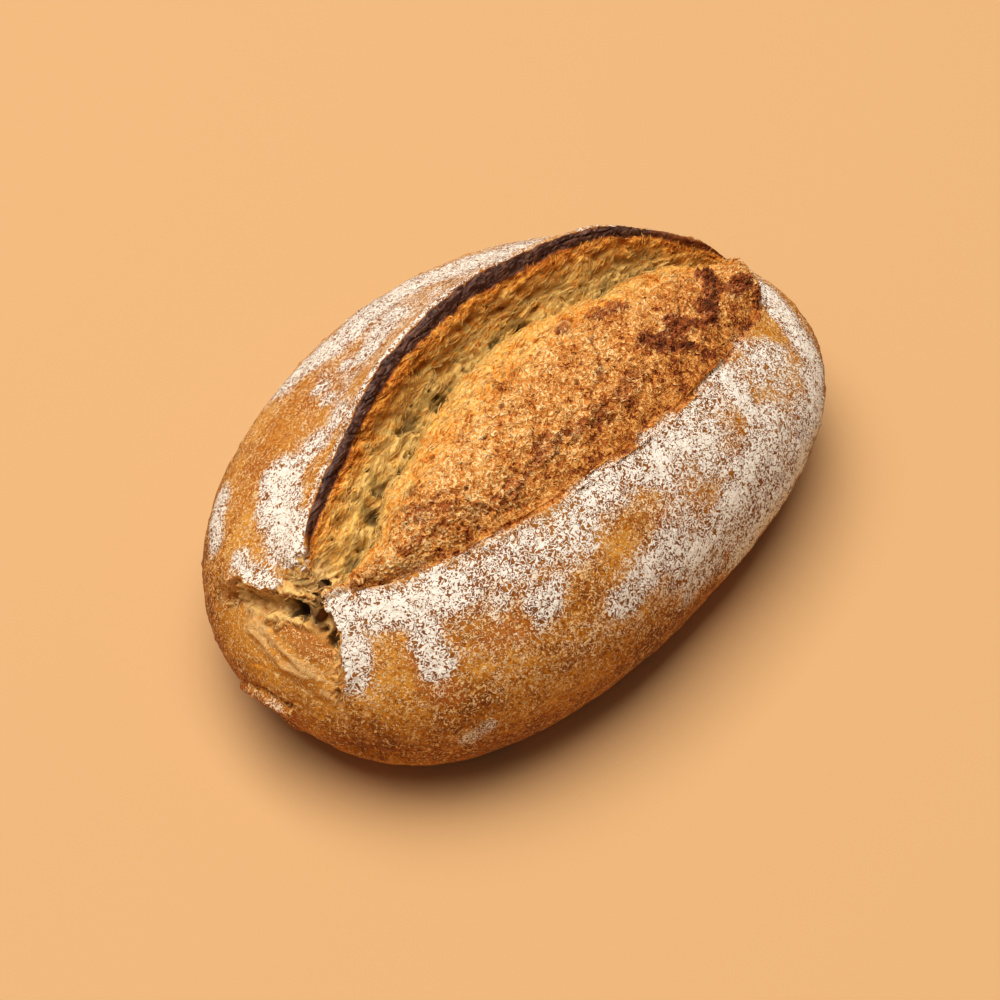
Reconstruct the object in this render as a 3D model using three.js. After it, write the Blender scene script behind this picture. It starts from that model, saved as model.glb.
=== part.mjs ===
// Sourdough loaf: an oval hearth loaf with one long slash that has torn open in the oven.
// The left lip of the slash stands up as a thin ear over a wall of torn crumb, the right lip lies
// flat, and the dough between them has risen into a broad ridge, the bloom. At the near end the
// slash runs out into a cross tear, where the crust of the end has slipped down under both lips.
// Units are millimetres, +Z is up, +X runs along the loaf from the torn end, +Y points to the ear.
// The origin is on the resting plane, under the middle of the loaf's bounding box.
import * as THREE from 'three';

// The whole loaf, before the slash opens it.
const body = {
  length: 260,
  width: 172,
  height: 88,
  widest: 33.4,        // height of the widest girth above the table
  nearOutline: 2.25,   // exponents of the outline and of the top line, 2 is a true ellipse
  farRightOutline: 2.29,
  farLeftOutline: 2.04,
  nearTop: 2.12,
  farTop: 1.68,
  archPower: 2.13,     // exponent of the cross-section's arch
  bow: -6.9,           // sideways bend and lean of the middle line, in millimetres at the ends
  lean: -5.2,
  baseShare: 0.55,     // flat base as a share of the half width
  shareMost: 0.999,    // share of the half width up to which the arch has a usable slope
  baseEnd: 0.6,        // share of the half length where the base starts to lift
};

// Outline of the opening: a lens along a slightly turned and bent line, pinched at its near end
// on the ear's side.
const slash = {
  centre: 5.5,
  halfLength: 111.5,
  halfWidth: 41,
  offset: -10,
  skew: -0.11,
  bend: 0.0004,
  opening: 0.35,       // share of the full width from which the slash has its full depth
  reach: 0.72,         // furthest that a lip lies from the middle line, in shares of the half width
  leastGap: 0.2,       // least distance between the lips, in shares of the half width
  pinch: [[-85, 5.8], [12, 0]],
};

// The standing lip. Its lift above the arch is given at places along the loaf.
const ear = {
  lift: [[-66, 4], [-36, 12.6], [72, 12.6], [112, 6]],
  thickness: 4.5,
  undercut: 1.2,       // how far inwards the rim's lower edge lies
  edgeRound: 0.8,      // rounding of its upper edge, inwards and down
  edgeDrop: 0.7,
  crown: 1,            // how far outwards the highest line lies
  spread: 0.02,        // share of the gap or half width by which these lie further out
  outerLift: 0.78,     // share of the lift left at the rim's outer edge
  fall: { place: 0.14, lift: 0.34 },   // outer side: share of the half width, share of the lift
  end: 0.3,            // share of the half width at which the lip's lift has died out
};

// Dough between the lips, in shares of the gap counted from the right lip, and its rises.
const bloom = {
  rightLip: 0.6,
  crease: 2.4,
  creasePlace: 0.035,
  slopeRise: 1.6,
  crestShare: 0.44,    // share of the way from the right lip to the shoulder
  crestRise: 3.5,
  plateauRise: 2.6,
  shoulderDrop: 0.4,
  shoulder: [[-104, 0.2], [-90, 0.37], [-62, 0.61], [-30, 0.69], [15, 0.74], [60, 0.66], [84, 0.65],
    [108, 0.48]],
  brink: 0.045,        // from the shoulder to the steep side's lower end
  brinkDepth: 0.9,     // share of the valley's depth there
  foot: 0.08,          // from the shoulder to the valley floor
  valleyDepth: 12,
  wallPlace: 0.55,     // share of the way up the wall, and of the valley's depth there
  wallDepth: 0.5,
  tipRise: 3,          // knob at the far end
  tipPlace: 104,
  tipReach: 10,
  tipEdge: 0.6,        // share of the knob's rise at the slope and the shoulder
};

// Cross tear at the near end. The edge is an arch around its apex, steeper to the right.
const tear = {
  apex: [-106.5, 1],
  leftDrop: 6,
  leftRound: 9,
  rightCurl: 0.03,
  leftEnd: [34, 43],   // sideways range where the tear heals on either side
  rightEnd: [-27, -19],
  lipRise: 1.4,
  lipReach: 11,
  step: 4.2,           // how far the end crust has slipped down
  stepWidth: 5,
  stepReach: 20,
  crackDepth: 6,
  crackWidth: 4.2,
  crackStart: [-4, 4], // sideways range over which the crack begins
  fadeHeight: 16,      // height above the widest girth over which the tear grows to its full size
  cavity: { depth: 3.5, place: 8, reach: 8 },  // deepest part of the crack
};

// Unevenness of each surface: height and size of its lumps.
const lumps = {
  crust: { height: 1.1, size: 46 },
  bloom: { height: 1.7, size: 17 },
  wall: { height: 1.5, size: 11 },
  lipFade: [0.08, 0.06],   // shares of the gap over which the crumb's lumps begin at either lip
  wallFade: 0.1,
  girthFade: 12,           // and height above the widest girth
  baseFade: [2, 14],       // heights over which all relief dies out towards the resting face
  endMargin: 1,
};

const scramble = { steps: [127.1, 311.7, 74.7], gain: 43758.5453 };

// Ring and point counts of the surface.
const mesh = {
  nearCap: 6,
  nearPower: 2,        // how much closer the rings lie towards either pole
  tearRings: 12,
  middleRings: 40,
  farCap: 9,
  farPower: 1.7,
  tearStart: -117,
  tearEnd: -101,
  farStart: 101,
  bendEnd: -76,        // where the rings, bent along the tear, are straight again
  crossingPasses: 8,
  bendMost: 15,        // furthest that a ring is bent towards the near pole
  bendRight: [-82, -28],   // sideways ranges and height over which the bend dies out
  bendLeft: [40, 80],
  bendHeight: 48,
  base: 4,
  tuck: 6,
  rightFlank: 14,
  leftFlank: 8,
  top: [1, 2, 3, 4, 4, 2, 1, 3, 3, 1, 1, 1, 2, 2],
};

const halfLength = body.length / 2;

function smooth(from, to, value) {
  const share = Math.min(1, Math.max(0, (value - from) / (to - from)));
  return share * share * (3 - 2 * share);
}

function clamp(value, low, high) {
  return Math.min(high, Math.max(low, value));
}

// Value at a place, eased between the stops of a list of [place, value].
function between(stops, place) {
  let value = stops[0][1];
  for (let index = 1; index < stops.length; index += 1) {
    const [from, start] = stops[index - 1];
    const [to, end] = stops[index];
    value += (end - start) * smooth(from, to, place);
  }
  return value;
}

function endCurve(u, nearPower, farPower) {
  const power = u < 0 ? nearPower : farPower;
  return (1 - Math.abs(u) ** power) ** (1 / power);
}

// Sizes of the cross-section at one place along the loaf.
function sectionAt(x) {
  const u = x / halfLength;
  const lift = clamp((Math.abs(u) - body.baseEnd) / (1 - body.baseEnd), 0, 1);
  const rightHalf = body.width / 2 * endCurve(u, body.nearOutline, body.farRightOutline);
  const leftHalf = body.width / 2 * endCurve(u, body.nearOutline, body.farLeftOutline);
  const half = (rightHalf + leftHalf) / 2;
  return {
    x,
    half,
    middle: body.lean * u + body.bow * u * u + (leftHalf - rightHalf) / 2,
    rise: (body.height - body.widest) * endCurve(u, body.nearTop, body.farTop),
    floor: body.widest * (1 - Math.sqrt(1 - lift * lift)),
    baseHalf: half * body.baseShare,
  };
}

// Height of the unslashed arch over a sideways place.
function archHeight(section, y) {
  const share = clamp(Math.abs(y - section.middle) / section.half, 0, 1);
  return body.widest + section.rise * (1 - share ** body.archPower) ** (1 / body.archPower);
}

function archPoint(section, angle) {
  const power = 2 / body.archPower;
  const side = Math.cos(angle);
  return [
    section.middle - section.half * Math.sign(side) * Math.abs(side) ** power,
    body.widest + section.rise * Math.abs(Math.sin(angle)) ** power,
  ];
}

function archAngle(section, y) {
  const share = clamp((section.middle - y) / section.half, -body.shareMost, body.shareMost);
  return Math.acos(Math.sign(share) * Math.abs(share) ** (body.archPower / 2));
}

// The slash across one section: both lips, how far it is open, and the places between the lips.
function slashAt(section) {
  const { x, half, middle } = section;
  const along = (x - slash.centre) / slash.halfLength;
  const lens = Math.sqrt(Math.max(0, 1 - along * along));
  const open = smooth(0, slash.opening, lens);
  const line = slash.offset + slash.skew * x + slash.bend * x * x;
  const reach = slash.reach * half;
  const least = slash.leastGap * half;
  const right = clamp(line - slash.halfWidth * lens, middle - reach, middle + reach - least);
  const pinched = line + slash.halfWidth * lens - between(slash.pinch, x);
  const left = clamp(pinched, right + least, middle + reach);
  const lift = between(ear.lift, x) * open;
  const shoulder = between(bloom.shoulder, x);
  const tip = bloom.tipRise * Math.exp(-(((x - bloom.tipPlace) / bloom.tipReach) ** 2));
  return { right, left, gap: left - right, open, lift, shoulder, tip };
}

// Points that the top line passes through, from the right flank over the bloom and the ear.
function topPoints(section, cut) {
  const { right, left, gap, open, lift, shoulder, tip } = cut;
  const { half } = section;
  const crest = bloom.crestShare * shoulder;
  const depth = bloom.valleyDepth * open;
  const foot = shoulder + bloom.foot;
  const wall = foot + bloom.wallPlace * (1 - foot);
  const at = (y, dz) => [y, archHeight(section, y) + dz];
  return [
    at(right, bloom.rightLip * open),
    at(right + bloom.creasePlace * gap, -bloom.crease * open),
    at(right + crest / 2 * gap, bloom.slopeRise * open + bloom.tipEdge * tip),
    at(right + crest * gap, bloom.crestRise * open + tip),
    at(right + (crest + shoulder) / 2 * gap, bloom.plateauRise * open + tip),
    at(right + shoulder * gap, -bloom.shoulderDrop * open + bloom.tipEdge * tip),
    at(right + (shoulder + bloom.brink) * gap, -bloom.brinkDepth * depth),
    at(right + foot * gap, -depth),
    at(right + wall * gap, -bloom.wallDepth * depth),
    at(left - ear.undercut * open - ear.spread * gap, lift - ear.thickness * open),
    at(left - ear.edgeRound * open, lift - ear.edgeDrop * open),
    at(left + ear.crown * open + ear.spread * gap, lift),
    at(left + ear.thickness * open + ear.spread * half, ear.outerLift * lift),
    at(left + ear.fall.place * half, ear.fall.lift * lift),
    at(left + ear.end * half, 0),
  ];
}

// Smooth line through the points, with a given number of steps in each span.
function curveThrough(points, counts) {
  const knots = points.map((point) => new THREE.Vector3(point[0], point[1], 0));
  const curve = new THREE.CatmullRomCurve3(knots, false, 'centripetal');
  const spans = knots.length - 1;
  const line = [];
  counts.forEach((count, span) => {
    for (let step = 0; step < count; step += 1) {
      const point = curve.getPoint((span + step / count) / spans);
      line.push([point.x, point.y]);
    }
  });
  return line;
}

// One closed ring of [y, z] points, from the middle of the base round by the right side.
function ringAt(section) {
  const { middle, half, floor, baseHalf } = section;
  const top = topPoints(section, slashAt(section));
  const ring = [];
  for (let step = 0; step < mesh.base; step += 1) {
    ring.push([middle - baseHalf * step / mesh.base, floor]);
  }
  for (let step = 0; step < mesh.tuck; step += 1) {
    const angle = Math.PI / 2 * (step / mesh.tuck - 1);
    ring.push([
      middle - baseHalf - (half - baseHalf) * Math.cos(angle),
      body.widest + (body.widest - floor) * Math.sin(angle),
    ]);
  }
  const rightAngle = archAngle(section, top[0][0]);
  for (let step = 0; step < mesh.rightFlank; step += 1) {
    ring.push(archPoint(section, rightAngle * step / mesh.rightFlank));
  }
  ring.push(...curveThrough(top, mesh.top));
  const leftAngle = archAngle(section, top.at(-1)[0]);
  for (let step = 0; step < mesh.leftFlank; step += 1) {
    ring.push(archPoint(section, leftAngle + (Math.PI - leftAngle) * step / mesh.leftFlank));
  }
  for (let step = 0; step < mesh.tuck; step += 1) {
    const angle = -Math.PI / 2 * step / mesh.tuck;
    ring.push([
      middle + baseHalf + (half - baseHalf) * Math.cos(angle),
      body.widest + (body.widest - floor) * Math.sin(angle),
    ]);
  }
  for (let step = 0; step < mesh.base; step += 1) {
    ring.push([middle + baseHalf * (1 - step / mesh.base), floor]);
  }
  return ring;
}

// Places of the rings, close together at both ends and across the tear.
function ringPlaces() {
  const places = [];
  for (let step = 1; step < mesh.nearCap; step += 1) {
    places.push(-halfLength + (mesh.tearStart + halfLength) * (step / mesh.nearCap) ** mesh.nearPower);
  }
  for (let step = 0; step < mesh.tearRings; step += 1) {
    places.push(mesh.tearStart + (mesh.tearEnd - mesh.tearStart) * step / mesh.tearRings);
  }
  for (let step = 0; step < mesh.middleRings; step += 1) {
    places.push(mesh.tearEnd + (mesh.farStart - mesh.tearEnd) * step / mesh.middleRings);
  }
  for (let step = mesh.farCap; step > 0; step -= 1) {
    places.push(halfLength - (halfLength - mesh.farStart) * (step / mesh.farCap) ** mesh.farPower);
  }
  return places;
}

// Lattice noise between -1 and 1, the same on every run.
function latticeValue(i, j, k) {
  const [a, b, c] = scramble.steps;
  const mixed = Math.sin(i * a + j * b + k * c) * scramble.gain;
  return mixed - Math.floor(mixed);
}

function noise(x, y, z) {
  const cell = [Math.floor(x), Math.floor(y), Math.floor(z)];
  const [a, b, c] = [smooth(0, 1, x - cell[0]), smooth(0, 1, y - cell[1]), smooth(0, 1, z - cell[2])];
  let sum = 0;
  for (let corner = 0; corner < 8; corner += 1) {
    const [i, j, k] = [corner & 1, (corner >> 1) & 1, corner >> 2];
    const weight = (i ? a : 1 - a) * (j ? b : 1 - b) * (k ? c : 1 - c);
    sum += weight * latticeValue(cell[0] + i, cell[1] + j, cell[2] + k);
  }
  return 2 * sum - 1;
}

function lumpHeight(kind, x, y, z) {
  return kind.height * noise(x / kind.size, y / kind.size, z / kind.size);
}

// Edge of the cross tear: the place along the loaf where it lies, for a sideways place.
function tearEdge(y) {
  const side = y - tear.apex[1];
  if (side > 0) {
    return tear.apex[0] - tear.leftDrop * (1 - Math.exp(-side / tear.leftRound));
  }
  return tear.apex[0] - tear.rightCurl * side * side;
}

// Place where each lengthwise line of ring points crosses the tear's edge. Lines that pass beside
// the tear keep the apex's place.
function tearCrossings() {
  const apex = tear.apex[0];
  let places = new Array(ringAt(sectionAt(apex)).length).fill(apex);
  for (let pass = 0; pass < mesh.crossingPasses; pass += 1) {
    places = places.map((place, line) => {
      const [y, z] = ringAt(sectionAt(place))[line];
      const sideways = smooth(...mesh.bendRight, y) * (1 - smooth(...mesh.bendLeft, y));
      const held = sideways * smooth(0, mesh.bendHeight, z);
      const wanted = apex + held * Math.max(tearEdge(y) - apex, -mesh.bendMost);
      return (place + wanted) / 2;
    });
  }
  return places;
}

// Ring of [x, y, z] points, bent near the tear so that the tear's edge lies along the mesh.
function bentRing(x, crossings) {
  const apex = tear.apex[0];
  const nearFade = (x + halfLength) / (apex + halfLength);
  const fade = x < apex ? nearFade : (mesh.bendEnd - x) / (mesh.bendEnd - apex);
  return ringAt(sectionAt(x)).map(([y, z], line) => {
    const bend = Math.max(0, fade) * (crossings[line] - apex);
    return bend === 0 ? [x, y, z] : [x + bend, ...ringAt(sectionAt(x + bend))[line]];
  });
}

// Outward shift of the surface by the tear: raised lips, the slipped end crust and the crack.
// The lips are there only where crust is left between the slash and the tear.
function tearRelief(x, y, z, crustLeft) {
  const reach = smooth(...tear.rightEnd, y) * (1 - smooth(...tear.leftEnd, y));
  const high = reach * smooth(body.widest, body.widest + tear.fadeHeight, z);
  const past = tearEdge(y) - x;
  if (past < 0) {
    return high * crustLeft * tear.lipRise * Math.exp(past / tear.lipReach);
  }
  const slipped = tear.step * smooth(0, tear.stepWidth, past) * Math.exp(-past / tear.stepReach);
  const leftSide = smooth(...tear.crackStart, y);
  const across = 2 * past / tear.crackWidth - 1;
  const cavity = tear.cavity.depth * Math.exp(-(((y - tear.cavity.place) / tear.cavity.reach) ** 2));
  const crack = (tear.crackDepth + cavity) * leftSide * Math.exp(-across * across);
  return -high * (slipped + crack);
}

// Outward shift of one surface point by all relief.
function reliefAt(x, y, z) {
  const end = halfLength - lumps.endMargin;
  const cut = slashAt(sectionAt(clamp(x, -end, end)));
  const share = (y - cut.right) / cut.gap;
  const upper = smooth(body.widest, body.widest + lumps.girthFade, z);
  const [rightFade, leftFade] = lumps.lipFade;
  const torn = smooth(0, rightFade, share) * (1 - smooth(1 - leftFade, 1, share)) * cut.open * upper;
  const onWall = smooth(cut.shoulder, cut.shoulder + lumps.wallFade, share);
  const rough = lumpHeight(lumps.bloom, x, y, z) * (1 - onWall) + lumpHeight(lumps.wall, x, y, z) * onWall;
  const even = lumpHeight(lumps.crust, x, y, z) * (1 - torn);
  return (even + rough * torn) * smooth(...lumps.baseFade, z) + tearRelief(x, y, z, 1 - torn);
}

// Closed surface over all rings, with a fan of triangles at either end.
function loafGeometry() {
  const crossings = tearCrossings();
  const rings = ringPlaces().map((x) => bentRing(x, crossings));
  const around = rings[0].length;
  const points = rings.flat();
  const nearPole = points.length;
  const farPole = nearPole + 1;
  for (const end of [-1, 1]) {
    points.push([end * halfLength, body.lean * end + body.bow, body.widest]);
  }
  const faces = [];
  for (let ring = 0; ring + 1 < rings.length; ring += 1) {
    for (let step = 0; step < around; step += 1) {
      const a = ring * around + step;
      const b = ring * around + (step + 1) % around;
      faces.push(a, b + around, b, a, a + around, b + around);
    }
  }
  const last = (rings.length - 1) * around;
  for (let step = 0; step < around; step += 1) {
    const next = (step + 1) % around;
    faces.push(nearPole, step, next, last + step, farPole, last + next);
  }
  const geometry = new THREE.BufferGeometry();
  geometry.setAttribute('position', new THREE.Float32BufferAttribute(points.flat(), 3));
  geometry.setIndex(faces);
  geometry.computeVertexNormals();
  return geometry;
}

// Moves every point out or in along its normal, and leaves the resting face flat.
function addRelief(geometry) {
  const { position, normal } = geometry.attributes;
  const point = new THREE.Vector3();
  const outward = new THREE.Vector3();
  for (let index = 0; index < position.count; index += 1) {
    point.fromBufferAttribute(position, index);
    outward.fromBufferAttribute(normal, index);
    point.addScaledVector(outward, reliefAt(point.x, point.y, point.z));
    position.setXYZ(index, point.x, point.y, point.z);
  }
}

function centreOnTable(geometry) {
  geometry.computeBoundingBox();
  const { min, max } = geometry.boundingBox;
  geometry.translate(-(min.x + max.x) / 2, -(min.y + max.y) / 2, -min.z);
}

const geometry = loafGeometry();
addRelief(geometry);
centreOnTable(geometry);
geometry.computeVertexNormals();

const crust = new THREE.MeshStandardMaterial({ color: 0xb97a3c, roughness: 0.85, metalness: 0 });
const loaf = new THREE.Mesh(geometry, crust);
loaf.name = 'loaf';

const group = new THREE.Group();
group.add(loaf);

export default group;
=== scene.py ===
import math
from functools import partial

import bpy
import numpy as np
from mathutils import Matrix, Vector


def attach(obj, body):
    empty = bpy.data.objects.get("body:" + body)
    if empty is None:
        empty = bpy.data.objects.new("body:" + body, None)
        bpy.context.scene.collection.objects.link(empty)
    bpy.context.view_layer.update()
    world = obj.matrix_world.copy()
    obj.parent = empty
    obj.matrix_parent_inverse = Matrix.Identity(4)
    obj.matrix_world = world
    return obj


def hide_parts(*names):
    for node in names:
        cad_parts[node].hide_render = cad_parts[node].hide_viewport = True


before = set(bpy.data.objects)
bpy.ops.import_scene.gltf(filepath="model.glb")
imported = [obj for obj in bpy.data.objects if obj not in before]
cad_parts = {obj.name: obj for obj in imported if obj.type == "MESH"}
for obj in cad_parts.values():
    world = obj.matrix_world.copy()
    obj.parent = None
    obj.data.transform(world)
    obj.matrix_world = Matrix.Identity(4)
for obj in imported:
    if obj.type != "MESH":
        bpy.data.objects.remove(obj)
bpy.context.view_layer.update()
mm = 0.001
print("frame loaded")

# small helpers


def smooth(start, end, value):
    share = np.clip((value - start) / (end - start), 0, 1)
    return share * share * (3 - 2 * share)


def between(stops, place):
    # eased value along a list of (place, value)
    value = stops[0][1] + 0 * place
    for (start, low), (end, high) in zip(stops, stops[1:]):
        value = value + (high - low) * smooth(start, end, place)
    return value


def hexColour(text):
    # sRGB hex to linear
    channels = [int(text[i:i + 2], 16) / 255 for i in (1, 3, 5)]
    return [c / 12.92 if c <= 0.04045 else ((c + 0.055) / 1.055) ** 2.4 for c in channels] + [1]


# form of the loaf, the same rules and sizes as its solid, in millimetres

body = dict(length=260, width=172, height=88, widest=33.4,
            nearOutline=2.25, farRightOutline=2.29, farLeftOutline=2.04, nearTop=2.12, farTop=1.68,
            archPower=2.13, bow=-6.9, lean=-5.2, baseShare=0.55, baseEnd=0.6)
slash = dict(centre=5.5, halfLength=111.5, halfWidth=41, offset=-10, skew=-0.11, bend=0.0004,
             opening=0.35, pinch=[(-85, 5.8), (12, 0)], reach=0.72, least=0.2)
ear = dict(lift=[(-66, 4), (-36, 12.6), (72, 12.6), (112, 6)], thickness=4.5)
bloom = dict(rightLip=0.6, crease=2.4, crestShare=0.44, crestRise=3.5, plateauRise=2.6,
             shoulder=[(-104, 0.2), (-90, 0.37), (-62, 0.61), (-30, 0.69), (15, 0.74), (60, 0.66),
                       (84, 0.65), (108, 0.48)],
             valleyDepth=12, tipRise=3, tipPlace=104, tipReach=10)
tear = dict(apex=(-106.5, 1), leftDrop=6, leftRound=9, rightCurl=0.03, leftEnd=(34, 43),
            rightEnd=(-27, -19), lipRise=1.4, lipReach=11, step=4.2, stepWidth=5, stepReach=20,
            crackDepth=6, crackWidth=4.2, cavityDepth=3.5, cavityPlace=8, cavityReach=8)
lumps = dict(crust=(1.1, 46), bloom=(1.7, 17), wall=(1.5, 11))   # height, size

halfLength = body["length"] / 2


def endCurve(u, near, far):
    power = np.where(u < 0, near, far)
    return np.maximum(0, 1 - np.abs(u) ** power) ** (1 / power)


def sectionAt(x):
    u = x / halfLength
    lift = np.clip((np.abs(u) - body["baseEnd"]) / (1 - body["baseEnd"]), 0, 1)
    rightHalf = body["width"] / 2 * endCurve(u, body["nearOutline"], body["farRightOutline"])
    leftHalf = body["width"] / 2 * endCurve(u, body["nearOutline"], body["farLeftOutline"])
    half = (rightHalf + leftHalf) / 2
    return dict(
        x=x, half=half,
        middle=body["lean"] * u + body["bow"] * u * u + (leftHalf - rightHalf) / 2,
        rise=(body["height"] - body["widest"]) * endCurve(u, body["nearTop"], body["farTop"]),
        floor=body["widest"] * (1 - np.sqrt(1 - lift * lift)),
        baseHalf=half * body["baseShare"])


def archHeight(section, y):
    share = np.clip(np.abs(y - section["middle"]) / section["half"], 0, 1)
    power = body["archPower"]
    return body["widest"] + section["rise"] * (1 - share ** power) ** (1 / power)


def archPoint(section, angle):
    power = 2 / body["archPower"]
    side = np.cos(angle)
    return (section["middle"] - section["half"] * np.sign(side) * np.abs(side) ** power,
            body["widest"] + section["rise"] * np.abs(np.sin(angle)) ** power)


def archAngle(section, y):
    share = np.clip((section["middle"] - y) / section["half"], -0.999, 0.999)
    return np.arccos(np.sign(share) * np.abs(share) ** (body["archPower"] / 2))


def slashAt(section):
    x, half, middle = section["x"], section["half"], section["middle"]
    along = (x - slash["centre"]) / slash["halfLength"]
    lens = np.sqrt(np.maximum(0, 1 - along * along))
    opened = smooth(0, slash["opening"], lens)
    line = slash["offset"] + slash["skew"] * x + slash["bend"] * x * x
    reach, least = slash["reach"] * half, slash["least"] * half
    right = np.clip(line - slash["halfWidth"] * lens, middle - reach, middle + reach - least)
    pinched = line + slash["halfWidth"] * lens - between(slash["pinch"], x)
    left = np.clip(pinched, right + least, middle + reach)
    return dict(right=right, left=left, gap=left - right, opened=opened,
                lift=between(ear["lift"], x) * opened, shoulder=between(bloom["shoulder"], x),
                tip=bloom["tipRise"] * np.exp(-((x - bloom["tipPlace"]) / bloom["tipReach"]) ** 2))


def topPoints(section, cut):
    right, left, gap, opened = cut["right"], cut["left"], cut["gap"], cut["opened"]
    lift, shoulder, tip, half = cut["lift"], cut["shoulder"], cut["tip"], section["half"]
    crest = bloom["crestShare"] * shoulder
    depth = bloom["valleyDepth"] * opened
    foot = shoulder + 0.08
    thick = ear["thickness"] * opened
    places = [   # each one's number is its line code, which the finishes below use
        (right, bloom["rightLip"] * opened),   # 0, right lip
        (right + 0.035 * gap, -bloom["crease"] * opened),
        (right + 0.5 * crest * gap, 1.6 * opened + 0.6 * tip),
        (right + crest * gap, bloom["crestRise"] * opened + tip),   # 3, crest
        (right + 0.5 * (crest + shoulder) * gap, bloom["plateauRise"] * opened + tip),
        (right + shoulder * gap, -0.4 * opened + 0.6 * tip),   # 5, shoulder
        (right + (shoulder + 0.045) * gap, -0.9 * depth),
        (right + foot * gap, -depth),   # 7, valley
        (right + (0.45 * foot + 0.55) * gap, -0.5 * depth),
        (left - 1.2 * opened - 0.02 * gap, lift - thick),   # 9, under edge of the ear
        (left - 0.8 * opened, lift - 0.7 * opened),
        (left + 1.0 * opened + 0.02 * gap, lift),   # 11, top of the ear
        (left + thick + 0.02 * half, 0.78 * lift),
        (left + 0.14 * half, 0.34 * lift),
        (left + 0.3 * half, 0 * lift)]
    return [np.stack([y, archHeight(section, y) + dz], -1) for y, dz in places]


def curvePoint(points, span, t):
    # centripetal Catmull-Rom between points[span] and points[span + 1]
    p1, p2 = points[span], points[span + 1]
    p0 = points[span - 1] if span > 0 else 2 * p1 - p2
    p3 = points[span + 2] if span + 2 < len(points) else 2 * p2 - p1

    def knot(a, b):
        return np.maximum(np.linalg.norm(a - b, axis=-1, keepdims=True) ** 0.5, 1e-4)
    t1 = knot(p0, p1)
    t2 = t1 + knot(p1, p2)
    t3 = t2 + knot(p2, p3)
    at = t1 + (t2 - t1) * t
    a1 = (t1 - at) / t1 * p0 + at / t1 * p1
    a2 = (t2 - at) / (t2 - t1) * p1 + (at - t1) / (t2 - t1) * p2
    a3 = (t3 - at) / (t3 - t2) * p2 + (at - t2) / (t3 - t2) * p3
    b1 = (t2 - at) / t2 * a1 + at / t2 * a2
    b2 = (t3 - at) / (t3 - t1) * a2 + (at - t1) / (t3 - t1) * a3
    return (t2 - at) / (t2 - t1) * b1 + (at - t1) / (t2 - t1) * b2


def ringLines(counts):
    # every lengthwise line of the surface, as (stretch of the ring, place in it)
    lines = [("baseRight", s / counts["base"]) for s in range(counts["base"])]
    lines += [("tuckRight", s / counts["tuck"]) for s in range(counts["tuck"])]
    lines += [("flankRight", s / counts["rightFlank"]) for s in range(counts["rightFlank"])]
    for span, count in enumerate(counts["top"]):
        lines += [(span, s / count) for s in range(count)]
    lines += [("flankLeft", s / counts["leftFlank"]) for s in range(counts["leftFlank"])]
    lines += [("tuckLeft", s / counts["tuck"]) for s in range(counts["tuck"])]
    lines += [("baseLeft", s / counts["base"]) for s in range(counts["base"])]
    return lines


def linePoints(line, x):
    # x, y, z of one line at places x
    stretch, share = line
    section = sectionAt(x)
    middle, half, floor, baseHalf = (section[k] for k in ("middle", "half", "floor", "baseHalf"))
    widest = body["widest"]
    if stretch in ("baseRight", "baseLeft"):
        side = -share if stretch == "baseRight" else 1 - share
        y, z = middle + baseHalf * side, floor
    elif stretch in ("tuckRight", "tuckLeft"):
        side = -1 if stretch == "tuckRight" else 1
        angle = math.pi / 2 * (share - 1 if side < 0 else -share)
        y = middle + side * (baseHalf + (half - baseHalf) * math.cos(angle))
        z = widest + (widest - floor) * math.sin(angle)
    else:
        top = topPoints(section, slashAt(section))
        if stretch == "flankRight":
            y, z = archPoint(section, archAngle(section, top[0][..., 0]) * share)
        elif stretch == "flankLeft":
            start = archAngle(section, top[-1][..., 0])
            y, z = archPoint(section, start + (math.pi - start) * share)
        else:
            point = curvePoint(top, stretch, share)
            y, z = point[..., 0], point[..., 1]
    return np.stack([x, y, z], -1)


def lattice(i, j, k):
    mixed = np.sin(i * 127.1 + j * 311.7 + k * 74.7) * 43758.5453
    return mixed - np.floor(mixed)


def latticeNoise(points, size):
    # smooth noise from -1 to 1, in lumps of the given size
    scaled = points / size
    cell = np.floor(scaled)
    part = smooth(0, 1, scaled - cell)
    total = 0
    for corner in range(8):
        step = np.array([corner & 1, (corner >> 1) & 1, corner >> 2])
        weight = np.prod(np.where(step, part, 1 - part), -1)
        total = total + weight * lattice(*np.moveaxis(cell + step, -1, 0))
    return 2 * total - 1


def tearEdge(y):
    side = y - tear["apex"][1]
    left = tear["leftDrop"] * (1 - np.exp(-np.maximum(side, 0) / tear["leftRound"]))
    return tear["apex"][0] - left - tear["rightCurl"] * np.minimum(side, 0) ** 2


def tearParts(points):
    # lips, slipped end crust and crack of the cross tear, each from 0 up
    x, y, z = np.moveaxis(points, -1, 0)
    held = smooth(*tear["rightEnd"], y) * (1 - smooth(*tear["leftEnd"], y))
    high = held * smooth(body["widest"], body["widest"] + 16, z)
    past = tearEdge(y) - x
    lips = high * np.exp(np.minimum(past, 0) / tear["lipReach"]) * (past < 0)
    slipped = high * smooth(0, tear["stepWidth"], past) * np.exp(-np.maximum(past, 0) / tear["stepReach"])
    across = (past - tear["crackWidth"] / 2) / tear["crackWidth"]
    cavity = tear["cavityDepth"] * np.exp(-((y - tear["cavityPlace"]) / tear["cavityReach"]) ** 2)
    crack = high * smooth(-4, 4, y) * np.exp(-4 * across ** 2) * (past > 0)
    return dict(high=high, past=past, lips=lips, slipped=slipped, crack=crack,
                crackDepth=tear["crackDepth"] + cavity)


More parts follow.
